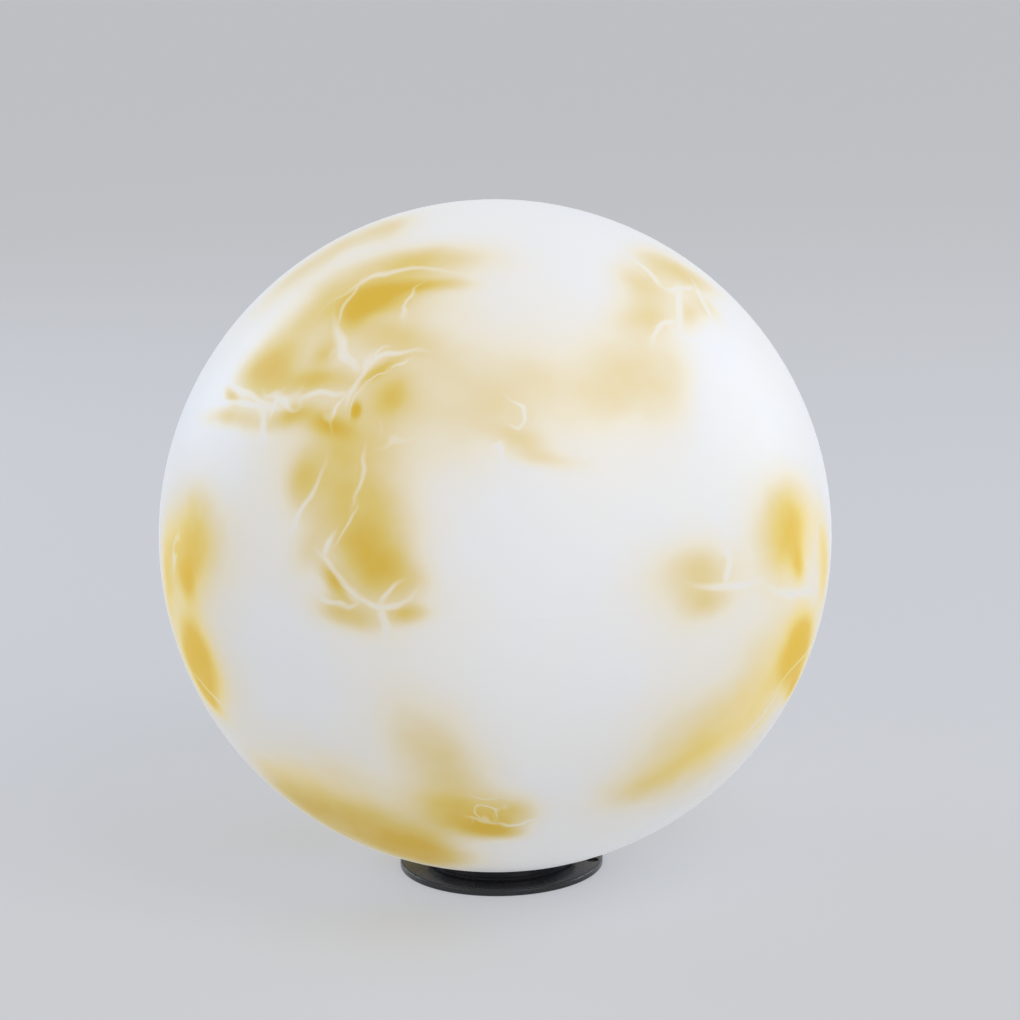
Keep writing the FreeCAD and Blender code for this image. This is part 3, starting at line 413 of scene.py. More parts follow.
@dataclass(frozen=True)
class Cloud:
    """A soft oval of colour on the globe.

    Attributes:
        right: Its middle, right of the globe's.
        up: Its middle, above the globe's.
        length: Half its length.
        width: Half its width.
        slope: How far it leans up to the right, in degrees.
        depth: How much colour it adds at its middle.
    """

    right: float
    up: float
    length: float
    width: float
    slope: float
    depth: float

    EDGE = 0.36

    def rulers(self, view: Viewpoint) -> tuple[Vector, Vector]:
        """Works out the rulers whose product with a direction is 0 at the middle and 1 at the edge.

        Args:
            view: Where the cloud is seen from.

        Returns:
            The rulers along its length and its width.
        """
        lean = math.radians(self.slope)
        centre = view.point(self.right, self.up)
        spans = []
        for half, turn in ((self.length, lean), (self.width, lean + QUARTER_TURN)):
            aside = Vector((math.cos(turn), math.sin(turn))) * half
            first = view.point(self.right - aside.x, self.up - aside.y)
            last = view.point(self.right + aside.x, self.up + aside.y)
            span = last - first
            spans.append(span - centre * span.dot(centre))
        along, across = spans
        square_on = centre.cross(along).normalized()
        half_width = abs(across.dot(square_on)) / 2
        return along * (2 / along.length_squared), square_on / half_width


@dataclass(frozen=True)
class Vein:
    """A thin pale line through three points of the globe, thinner to its ends.

    Attributes:
        start: Its first point, right and up of the globe's centre.
        middle: A point halfway.
        end: Its last point.
        width: Half its width at its thickest.
    """

    start: Pair
    middle: Pair
    end: Pair
    width: float

    OVERRUN = 1.9
    LEAST_REACH = 0.12
    STRAIGHT = 1e-6

    def disc(self, view: Viewpoint) -> tuple[Vector, Matrix, Vector]:
        """Works out the flat disc that cuts the globe along the vein.

        Args:
            view: Where the vein is seen from.

        Returns:
            The disc's centre, its axes as a matrix's columns, and its half sizes.
        """
        start, middle, end = (view.point(*place) for place in (self.start, self.middle, self.end))
        normal = (end - start).cross(middle - start)
        if normal.length < self.STRAIGHT:
            normal = (end - start).cross(middle)
        normal.normalize()
        along = (end - start).normalized()
        half = (end - start).length / 2 * self.OVERRUN
        turned = Matrix((along, normal, along.cross(normal))).transposed()
        thickness = self.width / PARTS * normal.cross(middle).length
        return middle, turned, Vector((half, thickness, max(half, self.LEAST_REACH)))


GLOBE_RADIUS = 0.15
CAMERA_DISTANCE = 1.3
FRONT = Viewpoint(azimuth=-79.0, elevation=12.9, nearness=CAMERA_DISTANCE / GLOBE_RADIUS)

# The rows of the clouds and the veins, with their attributes in order.
CLOUDS = (
    # Upper left sea.
    (-336, 721, 100, 40, 12, 1.4), (-196, 754, 113, 18, 2, 0.75), (-402, 681, 60, 32, 58, 0.75),
    (-309, 715, 186, 75, 8, 0.34), (-216, 821, 185, 44, 6, 0.75), (-508, 695, 150, 60, 38, 0.6),
    (-668, 505, 75, 62, 60, 1.3), (-628, 562, 85, 55, 50, 0.5), (-528, 465, 100, 33, 4, 0.72),
    (-595, 372, 55, 26, 10, 0.95), (-495, 336, 68, 30, -20, 0.85), (-768, 369, 88, 30, -8, 0.58),
    (-774, 435, 28, 16, -50, 0.6), (-303, 429, 62, 55, 10, 0.78), (-336, 495, 66, 17, 27, 0.85),
    (-409, 380, 23, 15, 85, 1.6), (-323, 602, 150, 60, -12, 0.45), (-502, 548, 45, 35, 80, 0.5),
    (-462, 190, 170, 110, 80, 0.58), (-362, 97, 120, 80, 75, 0.18), (-568, 183, 75, 42, 70, 0.55),
    (-430, 430, 360, 260, 40, 0.26), (-190, 420, 170, 240, 0, 0.16), (-420, 240, 220, 150, 85, 0.18),
    # Lower left sea.
    (-382, -70, 120, 85, -62, 0.95), (-350, 0, 120, 90, 90, 0.48), (-269, -118, 75, 55, -25, 0.4),
    (-489, -136, 58, 22, -52, 0.95), (-562, -37, 70, 45, 60, 0.25), (-455, -223, 82, 38, -15, 0.7),
    (-269, -229, 58, 26, 5, 0.7), (-380, -100, 230, 180, -60, 0.18),
    # Left rim.
    (-905, -15, 115, 55, -82, 0.85), (-918, -115, 45, 20, -70, 0.9), (-977, -110, 130, 22, 85, 0.9),
    (-925, -45, 160, 85, -86, 0.6), (-895, -350, 90, 36, -60, 1.9), (-867, -449, 50, 11, -55, 0.9),
    (-885, -360, 150, 80, -64, 0.55),
    # Lower rim.
    (-602, -765, 140, 72, -42, 0.8), (-429, -861, 160, 75, -28, 0.78), (-255, -930, 125, 60, -14, 1.6),
    (-462, -800, 230, 120, -30, 0.42), (-215, -600, 160, 105, -50, 0.38), (-163, -701, 140, 85, -30, 0.36),
    (-110, -827, 130, 56, -8, 1.25), (-43, -874, 75, 28, -4, 1.0), (25, -820, 75, 42, 0, 0.7),
    (10, -887, 62, 18, -4, 0.6),
    # Middle plain.
    (400, 455, 125, 120, 0, 0.27), (535, 450, 130, 85, 85, 0.27), (251, 430, 160, 110, 0, 0.23),
    (470, 690, 120, 95, 70, 0.4), (420, 755, 52, 42, -60, 0.2), (450, 635, 80, 34, 5, 0.16),
    (517, 801, 80, 36, -38, 0.42), (603, 748, 55, 34, -50, 0.42), (590, 640, 50, 34, -40, 0.4),
    (640, 665, 55, 30, -60, 0.36), (20, 430, 150, 115, 20, 0.3), (85, 285, 88, 38, -25, 0.38),
    (171, 223, 90, 24, -10, 0.26), (150, 420, 420, 220, 0, 0.11),
    # Right rim.
    (596, -110, 92, 60, 0, 0.42), (623, -209, 68, 50, 0, 0.4), (583, -156, 150, 130, 0, 0.26),
    (869, 5, 112, 60, -86, 0.85), (895, -103, 45, 18, -75, 0.95), (885, -20, 165, 85, -86, 0.5),
    (977, -103, 130, 18, -87, 0.8), (902, -345, 85, 36, 66, 1.9), (869, -435, 50, 30, 60, 0.75),
    (878, -462, 50, 12, 62, 0.95), (855, -395, 155, 75, 62, 0.5), (769, -515, 92, 75, 45, 0.4),
    (650, -601, 118, 75, 42, 0.46), (517, -694, 125, 66, 33, 0.46), (397, -761, 105, 42, 22, 0.4),
    (583, -635, 290, 125, 38, 0.26),
    # Upper rim.
    (-495, 840, 230, 24, 31, 0.5), (-309, 915, 75, 28, 20, 0.36),
)
VEINS = (
    # Upper left sea.
    ((-781, 469), (-734, 429), (-681, 405), 16), ((-681, 405), (-635, 394), (-575, 419), 19),
    ((-575, 419), (-508, 427), (-455, 423), 17), ((-675, 399), (-655, 424), (-628, 449), 17),
    ((-847, 419), (-761, 412), (-681, 400), 15), ((-668, 396), (-665, 350), (-665, 305), 20),
    ((-370, 545), (-409, 475), (-419, 415), 24), ((-419, 415), (-442, 376), (-429, 322), 20),
    ((-429, 322), (-412, 294), (-405, 260), 26), ((-482, 635), (-462, 562), (-422, 502), 26),
    ((-475, 635), (-435, 705), (-389, 754), 13), ((-389, 754), (-290, 781), (-110, 773), 15),
    ((-389, 515), (-362, 548), (-329, 568), 14), ((-369, 522), (-303, 545), (-196, 548), 15),
    ((-369, 429), (-349, 464), (-303, 484), 14), ((-303, 484), (-270, 500), (-240, 506), 13),
    ((-379, 362), (-379, 402), (-360, 449), 17), ((-369, 356), (-303, 353), (-249, 376), 18),
    ((-416, 256), (-422, 183), (-442, 97), 12), ((-442, 97), (-462, 43), (-495, -10), 12),
    ((-522, 190), (-562, 97), (-615, 4), 11), ((-482, 615), (-512, 585), (-535, 548), 22),
    ((-275, 675), (-229, 712), (-170, 728), 16),
    # Lower left sea.
    ((-522, -57), (-469, -125), (-409, -183), 16), ((-409, -183), (-342, -203), (-243, -187), 17),
    ((-349, -196), (-322, -165), (-289, -136), 14), ((-522, -168), (-475, -190), (-416, -193), 14),
    ((-349, -210), (-346, -250), (-349, -302), 24), ((-475, 3), (-497, -28), (-515, -57), 13),
    # Left rim.
    ((-967, 20), (-957, -37), (-954, -96), 20), ((-905, -385), (-867, -435), (-827, -482), 9),
    # Lower rim.
    ((-83, -827), (-40, -812), (10, -852), 15), ((-77, -834), (-43, -849), (15, -860), 12),
    ((-10, -857), (45, -866), (118, -841), 16),
    # Middle plain.
    ((397, 841), (463, 783), (517, 741), 15), ((517, 741), (555, 733), (603, 728), 16),
    ((556, 728), (558, 668), (553, 615), 20), ((553, 611), (507, 608), (463, 588), 16),
    ((463, 588), (417, 584), (370, 615), 17), ((556, 608), (616, 584), (676, 575), 18),
    ((623, 575), (627, 542), (623, 500), 17), ((610, 728), (645, 668), (683, 595), 18),
    ((590, 658), (610, 635), (616, 595), 10), ((55, 405), (91, 438), (132, 408), 26),
    ((55, 398), (91, 368), (132, 396), 26), ((-10, 245), (12, 262), (32, 268), 18),
    # Right rim.
    ((676, -57), (686, -103), (689, -156), 20), ((616, -160), (689, -162), (769, -150), 17),
    ((978, 10), (968, -37), (962, -83), 22), ((836, -176), (889, -192), (942, -190), 24),
    ((935, -342), (893, -402), (829, -482), 10), ((829, -488), (784, -548), (723, -615), 13),
)


class MarbledOpal(MaterialGraph):
    """The globe's opal plastic: white, with soft ochre clouds that thin pale veins cross.

    Attributes:
        centre: The globe's centre in metres.
        roughness: The surface's roughness.
        glow: The light that comes through the white opal.
        painted_rim_light: The strongest glow, made of painted rim light that brightens the ochre at the rim,
            round the waist, where the globe's edge is side-on to the front view.
        sway: How far the clouds are pulled about, in globe radii.
        vein_sway: How far the veins are.
        far_sway: How far all marks are, on the far side.
        far_twist: The most that the far side's marks are turned, in radians.
    """

    roughness = 0.42
    glow = 0.28
    # The strongest glow, with painted rim light at the globe's edge.
    painted_rim_light = 0.45
    sway = 0.03
    vein_sway = 0.008
    far_sway = 0.2
    far_twist = 1.3

    TONES = (
        (0.0, srgb(231, 231, 231)),
        (0.18, srgb(233, 225, 206)),
        (0.38, srgb(226, 209, 162)),
        (0.56, srgb(220, 196, 114)),
        (0.74, srgb(215, 179, 66)),
        (0.92, srgb(212, 175, 40)),
    )
    COOL = srgb(226, 231, 242)
    COOL_BAND = (0.4, 0.75)
    COOL_MOST = 0.4
    WHITE_BAND = (0.02, 0.2)
    LEFT_BY_ONE = 0.42
    DRIFT = (2.6, 3.0, 0.55)
    FINE = (7.0, 2.0)
    SKIN = (260.0, 2.0)
    RELIEF = 0.01 * MM
    ROUGHNESS_SWING = 0.06
    SPECULAR = 0.3
    MOTTLE_BAND = (0.25, 0.75)
    MOTTLE = (0.86, 1.14)
    FAR_BAND = (-0.7, 0.1)
    VEIN_BAND = (0.0, 0.8)
    LEFT_BY_VEIN = 0.42
    # Where painted rim light falls: side-on to the front view, round the waist, on the deeper ochre.
    PAINTED_RIM_BAND = (0.45, 0.8)
    PAINTED_RIM_FOOT = (-0.68, -0.45)
    PAINTED_RIM_TOP = (0.1, 0.4)
    PAINTED_RIM_OCHRE_BAND = (0.1, 0.5)
    FALLING = (1.0, 0.0)
    GREY = (0.5, 0.5, 0.5)

    def __init__(self, name: str, centre: Vector) -> None:
        """Starts the material of a name."""
        super().__init__(name)
        self.centre = centre

    def build(self) -> Material:
        """Builds the material."""
        from_centre = self.vector_math("SUBTRACT", self.place, tuple(self.centre))
        unit = self.vector_math("NORMALIZE", from_centre)
        drift = self.noise(unit, *self.DRIFT)
        fine = self.noise(unit, *self.FINE)
        behind = self.vector_math("DOT_PRODUCT", unit, FRONT.axes().col[2])
        reach = self.spread(behind, self.FAR_BAND, (self.far_sway, self.sway))
        swayed = self.pulled(self.folded(unit), drift, reach)
        mottle = self.spread(fine.outputs["Fac"], self.MOTTLE_BAND, self.MOTTLE)
        veins = self.veins(self.pulled(swayed, fine, self.vein_sway))
        thinned = self.math("MULTIPLY", self.math("MULTIPLY", self.clouds(swayed), mottle), veins)
        shown = self.math("SUBTRACT", 1.0, self.math("POWER", self.LEFT_BY_ONE, thinned))
        color = self.toned(shown, drift.outputs["Fac"])
        inputs = {
            "Base Color": color,
            "Roughness": self.varied(fine.outputs["Fac"], self.roughness, self.ROUGHNESS_SWING),
            "Specular IOR Level": self.SPECULAR,
            # The emission: the even glow, and painted rim light on the ochre at the globe's edge.
            "Emission Color": self.vector_math("MULTIPLY", color, self.glow_with_painted_rim(unit, behind, shown)),
            "Emission Strength": self.painted_rim_light,
            "Normal": self.bump(self.noise(unit, *self.SKIN).outputs["Fac"], self.RELIEF),
        }
        return self.shaded(inputs)

    def toned(self, shown: Socket, drift: Socket) -> Socket:
        """Turns the marks' depth into tones, with the white cooler in patches.

        Args:
            shown: The marks' depth.
            drift: The noise that places the patches.

        Returns:
            The colour.
        """
        ramp = self.node("ShaderNodeValToRGB", {"Fac": shown})
        ramp.color_ramp.interpolation = "LINEAR"
        while len(ramp.color_ramp.elements) < len(self.TONES):
            ramp.color_ramp.elements.new(0.5)
        for element, (position, color) in zip(ramp.color_ramp.elements, self.TONES):
            element.position = position
            element.color = color
        tone = ramp.outputs["Color"]
        tinged = self.mix(self.spread(drift, self.COOL_BAND, (0.0, self.COOL_MOST)), tone, self.COOL)
        return self.mix(self.spread(shown, self.WHITE_BAND), tinged, tone)

    def glow_with_painted_rim(self, unit: Socket, behind: Socket, shown: Socket) -> Socket:
        """Finds the share of the strongest glow that a point gives: the even glow everywhere, and all of it
        as painted rim light on the ochre at the rim, round the waist.

        Args:
            unit: The direction from the globe's centre.
            behind: How far it points to the viewer.
            shown: The marks' depth.

        Returns:
            The share.
        """
        # Painted rim light: brightest where the surface is side-on to the front view, round the waist, on the
        # ochre.
        rim = self.spread(self.math("ABSOLUTE", behind), self.PAINTED_RIM_BAND, self.FALLING)
        height = self.vector_math("DOT_PRODUCT", unit, UP)
        foot, top = self.spread(height, self.PAINTED_RIM_FOOT), self.spread(height, self.PAINTED_RIM_TOP, self.FALLING)
        painted_rim_waist = self.math("MULTIPLY", foot, top)
        ochre = self.math("MULTIPLY", self.spread(shown, self.PAINTED_RIM_OCHRE_BAND), painted_rim_waist)
        least = self.glow / self.painted_rim_light
        return self.math("MULTIPLY_ADD", self.math("MULTIPLY", rim, ochre), 1 - least, least)

    def pulled(self, place: Socket, noise: Node, reach: object) -> Socket:
        """Pulls coordinates about by a noise's colour, by about a reach either way."""
        middle = self.vector_math("SUBTRACT", noise.outputs["Color"], self.GREY)
        return self.vector_math("MULTIPLY_ADD", middle, self.math("MULTIPLY", reach, 2.0), place)

    def folded(self, unit: Socket) -> Socket:
        """Lets the marks come again on the far side, mirrored in the rim and turned about the line of sight.

        Args:
            unit: The direction from the globe's centre.

        Returns:
            The near side's direction whose marks show.
        """
        toward = FRONT.axes().col[2]
        behind = self.math("MINIMUM", self.vector_math("DOT_PRODUCT", unit, toward), 0.0)
        mirrored = self.vector_math("MULTIPLY_ADD", behind, tuple(-2 * toward), unit)
        angle = self.math("MULTIPLY", behind, self.far_twist)
        inputs = {"Vector": mirrored, "Axis": toward, "Angle": angle}
        return self.node("ShaderNodeVectorRotate", inputs, rotation_type="AXIS_ANGLE").outputs["Vector"]

    def clouds(self, place: Socket) -> Socket:
        """Adds up the clouds' colour.

        Args:
            place: The pulled coordinates.

        Returns:
            The colour's depth at each point.
        """
        total: object = 0.0
        for cloud in (Cloud(*row) for row in CLOUDS):
            along, across = (self.vector_math("DOT_PRODUCT", place, ruler) for ruler in cloud.rulers(FRONT))
            out = self.math("MULTIPLY_ADD", across, across, self.math("MULTIPLY", along, along))
            total = self.math("MULTIPLY_ADD", self.math("POWER", cloud.EDGE, out), cloud.depth, total)
        return total

    def veins(self, place: Socket) -> Socket:
        """Finds what the veins leave of the colour.

        Args:
            place: The pulled coordinates.

        Returns:
            1 away from the veins, and less on them.
        """
        most: object = 0.0
        for vein in (Vein(*row) for row in VEINS):
            centre, axes, halves = vein.disc(FRONT)
            inputs = {"Vector": place, "Location": centre, "Rotation": axes.to_euler("XYZ"), "Scale": halves}
            mapped = self.node("ShaderNodeMapping", inputs, vector_type="TEXTURE").outputs["Vector"]
            soft = self.node("ShaderNodeTexGradient", {"Vector": mapped}, gradient_type="SPHERICAL")
            most = self.math("MAXIMUM", soft.outputs["Fac"], most)
        return self.spread(most, self.VEIN_BAND, (1.0, self.LEFT_BY_VEIN))


# ---- Meshes ----

MERGED = 1e-7  # Points nearer than this become one.
LEVEL = 1e-6  # An edge this near a height is at it.
OVERLAP = 0.3 * MM  # How far a screw's shank reaches into its head.
SMOOTH_ANGLE = 40.0
SCREW_SMOOTH_ANGLE = 30.0


def finished(name: str, mesh: BMesh, smooth_angle: float = SMOOTH_ANGLE) -> Object:
    """Makes an object of a finished bmesh, smooth but for its sharp edges.

    Args:
        name: The piece's name.
        mesh: The bmesh, which is freed.
        smooth_angle: The degrees from which an edge stays sharp.

    Returns:
        The new object.
    """
    data = bpy.data.meshes.new(name)
    for face in mesh.faces:
        face.smooth = True
    for edge in mesh.edges:
        edge.smooth = len(edge.link_faces) == 2 and edge.calc_face_angle(0.0) < math.radians(smooth_angle)
    mesh.to_mesh(data)
    mesh.free()
    piece = bpy.data.objects.new(name, data)
    bpy.context.scene.collection.objects.link(piece)
    return piece


def line(mesh: BMesh, places: list[Pair]) -> list[bmesh.types.BMVert | bmesh.types.BMEdge]:
    """Draws a line through (radius, height) places in metres, and returns its points and edges."""
    points = [mesh.verts.new((radius, 0.0, height)) for radius, height in places]
    return points + [mesh.edges.new(pair) for pair in zip(points, points[1:])]


def drawn_on(mesh: BMesh, height: float, rings: list[Pair]) -> None:
    """Draws the open rim at a height on through round rings.

    Args:
        mesh: The bmesh.
        height: The rim's height in metres.
        rings: (radius, height) of each ring, in turn.
    """
    rim = (edge for edge in mesh.edges if edge.is_boundary)
    edges = [edge for edge in rim if all(abs(vert.co.z - height) < LEVEL for vert in edge.verts)]
    for radius, level in rings:
        made = bmesh.ops.extrude_edge_only(mesh, edges=edges)["geom"]
        for vert in (item for item in made if isinstance(item, bmesh.types.BMVert)):
            vert.co = Vector((vert.co.x, vert.co.y, 0.0)).normalized() * radius + UP * level
        edges = [item for item in made if isinstance(item, bmesh.types.BMEdge) and item.is_boundary]


@dataclass(frozen=True)
class Thread:
    """A right-handed thread about the upright axis.

    Attributes:
        crest: Its outer radius in metres.
        root: Its inner radius.
        pitch: The height of one turn.
        points: The points of one pitch, 2 for a pointed thread.
        steps: The steps of one turn.
    """

    crest: float
    root: float
    pitch: float
    points: int
    steps: int

    SPARE_TURNS = 2
    MERGED_SHARE = 1e-3

    def side(self, low: float, high: float) -> BMesh:
        """Sweeps the thread's side up its helix, and cuts it level at both ends.

        Args:
            low: Its lower end's height in metres.
            high: Its upper end's height.

        Returns:
            The bmesh, open at both ends.
        """
        mesh = bmesh.new()
        middle, swing = (self.crest + self.root) / 2, (self.crest - self.root) / 2
        shares = [step / self.points for step in range(self.points + 1)]
        radii = [middle - swing * math.cos(FULL_TURN * share) for share in shares]
        places = [(radius, low + self.pitch * (share - 1)) for radius, share in zip(radii, shares)]
        turns = math.ceil((high - low) / self.pitch) + self.SPARE_TURNS
        rise = UP * self.pitch / self.steps
        climb = {"dvec": rise, "angle": FULL_TURN * turns, "steps": self.steps * turns}
        bmesh.ops.spin(mesh, geom=line(mesh, places), cent=ORIGIN, axis=UP, **climb)
        bmesh.ops.remove_doubles(mesh, verts=mesh.verts, dist=self.pitch * self.MERGED_SHARE)
        for height, above in ((low, False), (high, True)):
            whole = mesh.verts[:] + mesh.edges[:] + mesh.faces[:]
            cleared = {"clear_inner": not above, "clear_outer": above}
            bmesh.ops.bisect_plane(mesh, geom=whole, plane_co=UP * height, plane_no=UP, **cleared)
        bmesh.ops.recalc_face_normals(mesh, faces=mesh.faces)
        return mesh


def combined(body: Object, tool: Object, operation: str) -> None:
    """Joins a tool to a body or cuts it out of it, and removes the tool.

    Args:
        body: The piece that is kept.
        tool: The piece that is used up.
        operation: UNION or DIFFERENCE.
    """
    combine = body.modifiers.new("combine", "BOOLEAN")
    combine.operation = operation
    combine.solver = "EXACT"
    combine.object = tool
    shaped = body.evaluated_get(bpy.context.evaluated_depsgraph_get())
    data = bpy.data.meshes.new_from_object(shaped)
    body.modifiers.clear()
    body.data = data
    bpy.data.objects.remove(tool)


def solids(node: Object) -> list[tuple[Vector, Vector]]:
    """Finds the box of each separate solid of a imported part.

    Args:
        node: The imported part.

    Returns:
        Each solid's lowest and highest corner, in metres.
    """
    mesh = bmesh.new()
    mesh.from_mesh(node.data)
    bmesh.ops.transform(mesh, matrix=node.matrix_world, verts=mesh.verts)
    bmesh.ops.remove_doubles(mesh, verts=mesh.verts, dist=MERGED)
    waiting = set(mesh.verts)
    boxes = []
    while waiting:
        reached = [waiting.pop()]
        for vert in reached:
            fresh = {edge.other_vert(vert) for edge in vert.link_edges} & waiting
            waiting -= fresh
            reached += fresh
        sides = list(zip(*(vert.co for vert in reached)))
        boxes.append((Vector(map(min, sides)), Vector(map(max, sides))))
    mesh.free()
    return boxes


class Drive(Enum):
    """What turns a screw, as the bearings in degrees of the bars cut into its top."""

    CROSS = (0.0, 90.0)
    SLOT = (30.0,)


@dataclass(frozen=True)
class Screw:
    """A threaded screw, with a domed head or headless.

    Attributes:
        shank: The thread's outer radius in metres.
        depth: The length below the seat.
        head: The head's radius, 0 for none.
        rise: The head's height.
        drive: What turns it.
        bar: Half the length and half the width of the recess's bars.
        sunk: How deep the recess is.
    """

    shank: float
    depth: float
    head: float = 0.0
    rise: float = 0.0
    drive: Drive = Drive.CROSS
    bar: Pair = (1.35 * MM, 0.3 * MM)
    sunk: float = 1.1 * MM

    ROOT_SHARE = 0.76
    PITCH_SHARE = 0.6
    POINTS = 2
    STEPS = 24
    TIP = 0.6 * MM
    TIP_SHARE = 0.7
    EDGE_SHARE = 0.4
    DOME_STEPS = 5
    HEAD_STEPS = 48
    TAPER = 0.55

    def threaded(self) -> Object:
        """Makes the shank, closed at both ends."""
        root, pitch = self.shank * self.ROOT_SHARE, self.shank * self.PITCH_SHARE
        low, high = self.TIP - self.depth, (OVERLAP if self.head else 0.0)
        mesh = Thread(self.shank, root, pitch, self.POINTS, self.STEPS).side(low, high)
        drawn_on(mesh, low, [(root * self.TIP_SHARE, -self.depth)])
        bmesh.ops.holes_fill(mesh, edges=mesh.edges)
        bmesh.ops.recalc_face_normals(mesh, faces=mesh.faces)
        return finished("screw_shank", mesh)

    def domed(self) -> Object:
        """Makes the domed head by spinning its profile about the axis."""
        dome = self.rise - self.rise * self.EDGE_SHARE
        sphere = (self.head**2 + dome**2) / (2 * dome)
        reach = math.asin(self.head / sphere)
        profile = [(0.0, 0.0), (self.head, 0.0)]
        for angle in (reach * step / self.DOME_STEPS for step in range(self.DOME_STEPS, -1, -1)):
            profile.append((sphere * math.sin(angle), self.rise - sphere * (1 - math.cos(angle))))
        mesh = bmesh.new()
        turn = {"angle": FULL_TURN, "steps": self.HEAD_STEPS, "use_merge": True}
        bmesh.ops.spin(mesh, geom=line(mesh, profile), cent=ORIGIN, axis=UP, **turn)
        bmesh.ops.remove_doubles(mesh, verts=mesh.verts, dist=MERGED)
        bmesh.ops.recalc_face_normals(mesh, faces=mesh.faces)
        return finished("screw_head", mesh)

    def recess(self, bearing: float) -> Object:
        """Makes the shape that cuts one bar of the recess, narrower towards its foot.

        Args:
            bearing: The bar's direction in degrees.

        Returns:
            The cutting shape.
        """
        mesh = bmesh.new()
        bmesh.ops.create_cube(mesh, size=2.0)
        bmesh.ops.scale(mesh, vec=(*self.bar, self.sunk), verts=mesh.verts)
        foot = [vert for vert in mesh.verts if vert.co.z < 0]
        bmesh.ops.scale(mesh, vec=(self.TAPER, 1.0, 1.0), verts=foot)
        bmesh.ops.translate(mesh, vec=UP * self.rise, verts=mesh.verts)
        turn = Matrix.Rotation(math.radians(bearing), 3, "Z")
        bmesh.ops.rotate(mesh, cent=ORIGIN, matrix=turn, verts=mesh.verts)
        return finished("screw_recess", mesh)

    def build(self) -> bpy.types.Mesh:
        """Builds the screw upright, with the middle of its seat at the origin."""
        whole = self.threaded()
        if self.head:
            combined(whole, self.domed(), "UNION")
        for bearing in self.drive.value:
            combined(whole, self.recess(bearing), "DIFFERENCE")
        data = whole.data
        bpy.data.objects.remove(whole)
        return data


# ---- Assemblies ----

BULB_PITCH = 25.4 * MM / 7
BULB_STEPS = 64
HEADED = ("plate_screws", "holder_screws", "clamp_screws", "block_screw")
SLOTS = {
    **dict.fromkeys((*HEADED, "wire_screws"), "screw_steel"),
    "screw_shell": "contact_brass",
    "bulb_cap": "cap_metal",
}


def stands_for(piece: Object, node: str, body: str, material: Material) -> None:
    """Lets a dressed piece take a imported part's place.

    Args:
        piece: The new piece, where the part is.
        node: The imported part's name.
        body: The body that the part moves with.
        material: The piece's finish.
    """
    dress(piece, material)
    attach(piece, body)
    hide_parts(node)
    log.info("%s takes the place of %s", piece.name, node)


@dataclass
class Assembly:
    """Pieces of the lamp that belong together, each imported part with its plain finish."""

    frame: dict

    FINISHES = {}

    def dress_nodes(self) -> None:
        """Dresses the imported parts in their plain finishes."""
        for finish, nodes in self.FINISHES.items():
            for node in nodes:
                dress(self.frame["nodes"][node], finish.material())


class Globe(Assembly):
    """The globe and what clamps it on its neck ring."""

    FINISHES = {
        Finish.BASE_BLACK: ("neck_ring",),
        Finish.SOFT_BLACK: ("globe_gasket",),
        Finish.NUT_BLACK: ("lock_nut", "slip_washer"),
    }

    def build(self) -> None:
        """Dresses the globe's pieces."""
        low = Vector(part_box("globe_upper_shell")[0])
        opal = MarbledOpal("marbled_opal", UP * low.z).build()
        for node in ("globe_upper_shell", "globe_lower_shell"):
            dress(self.frame["nodes"][node], opal)
        self.dress_nodes()


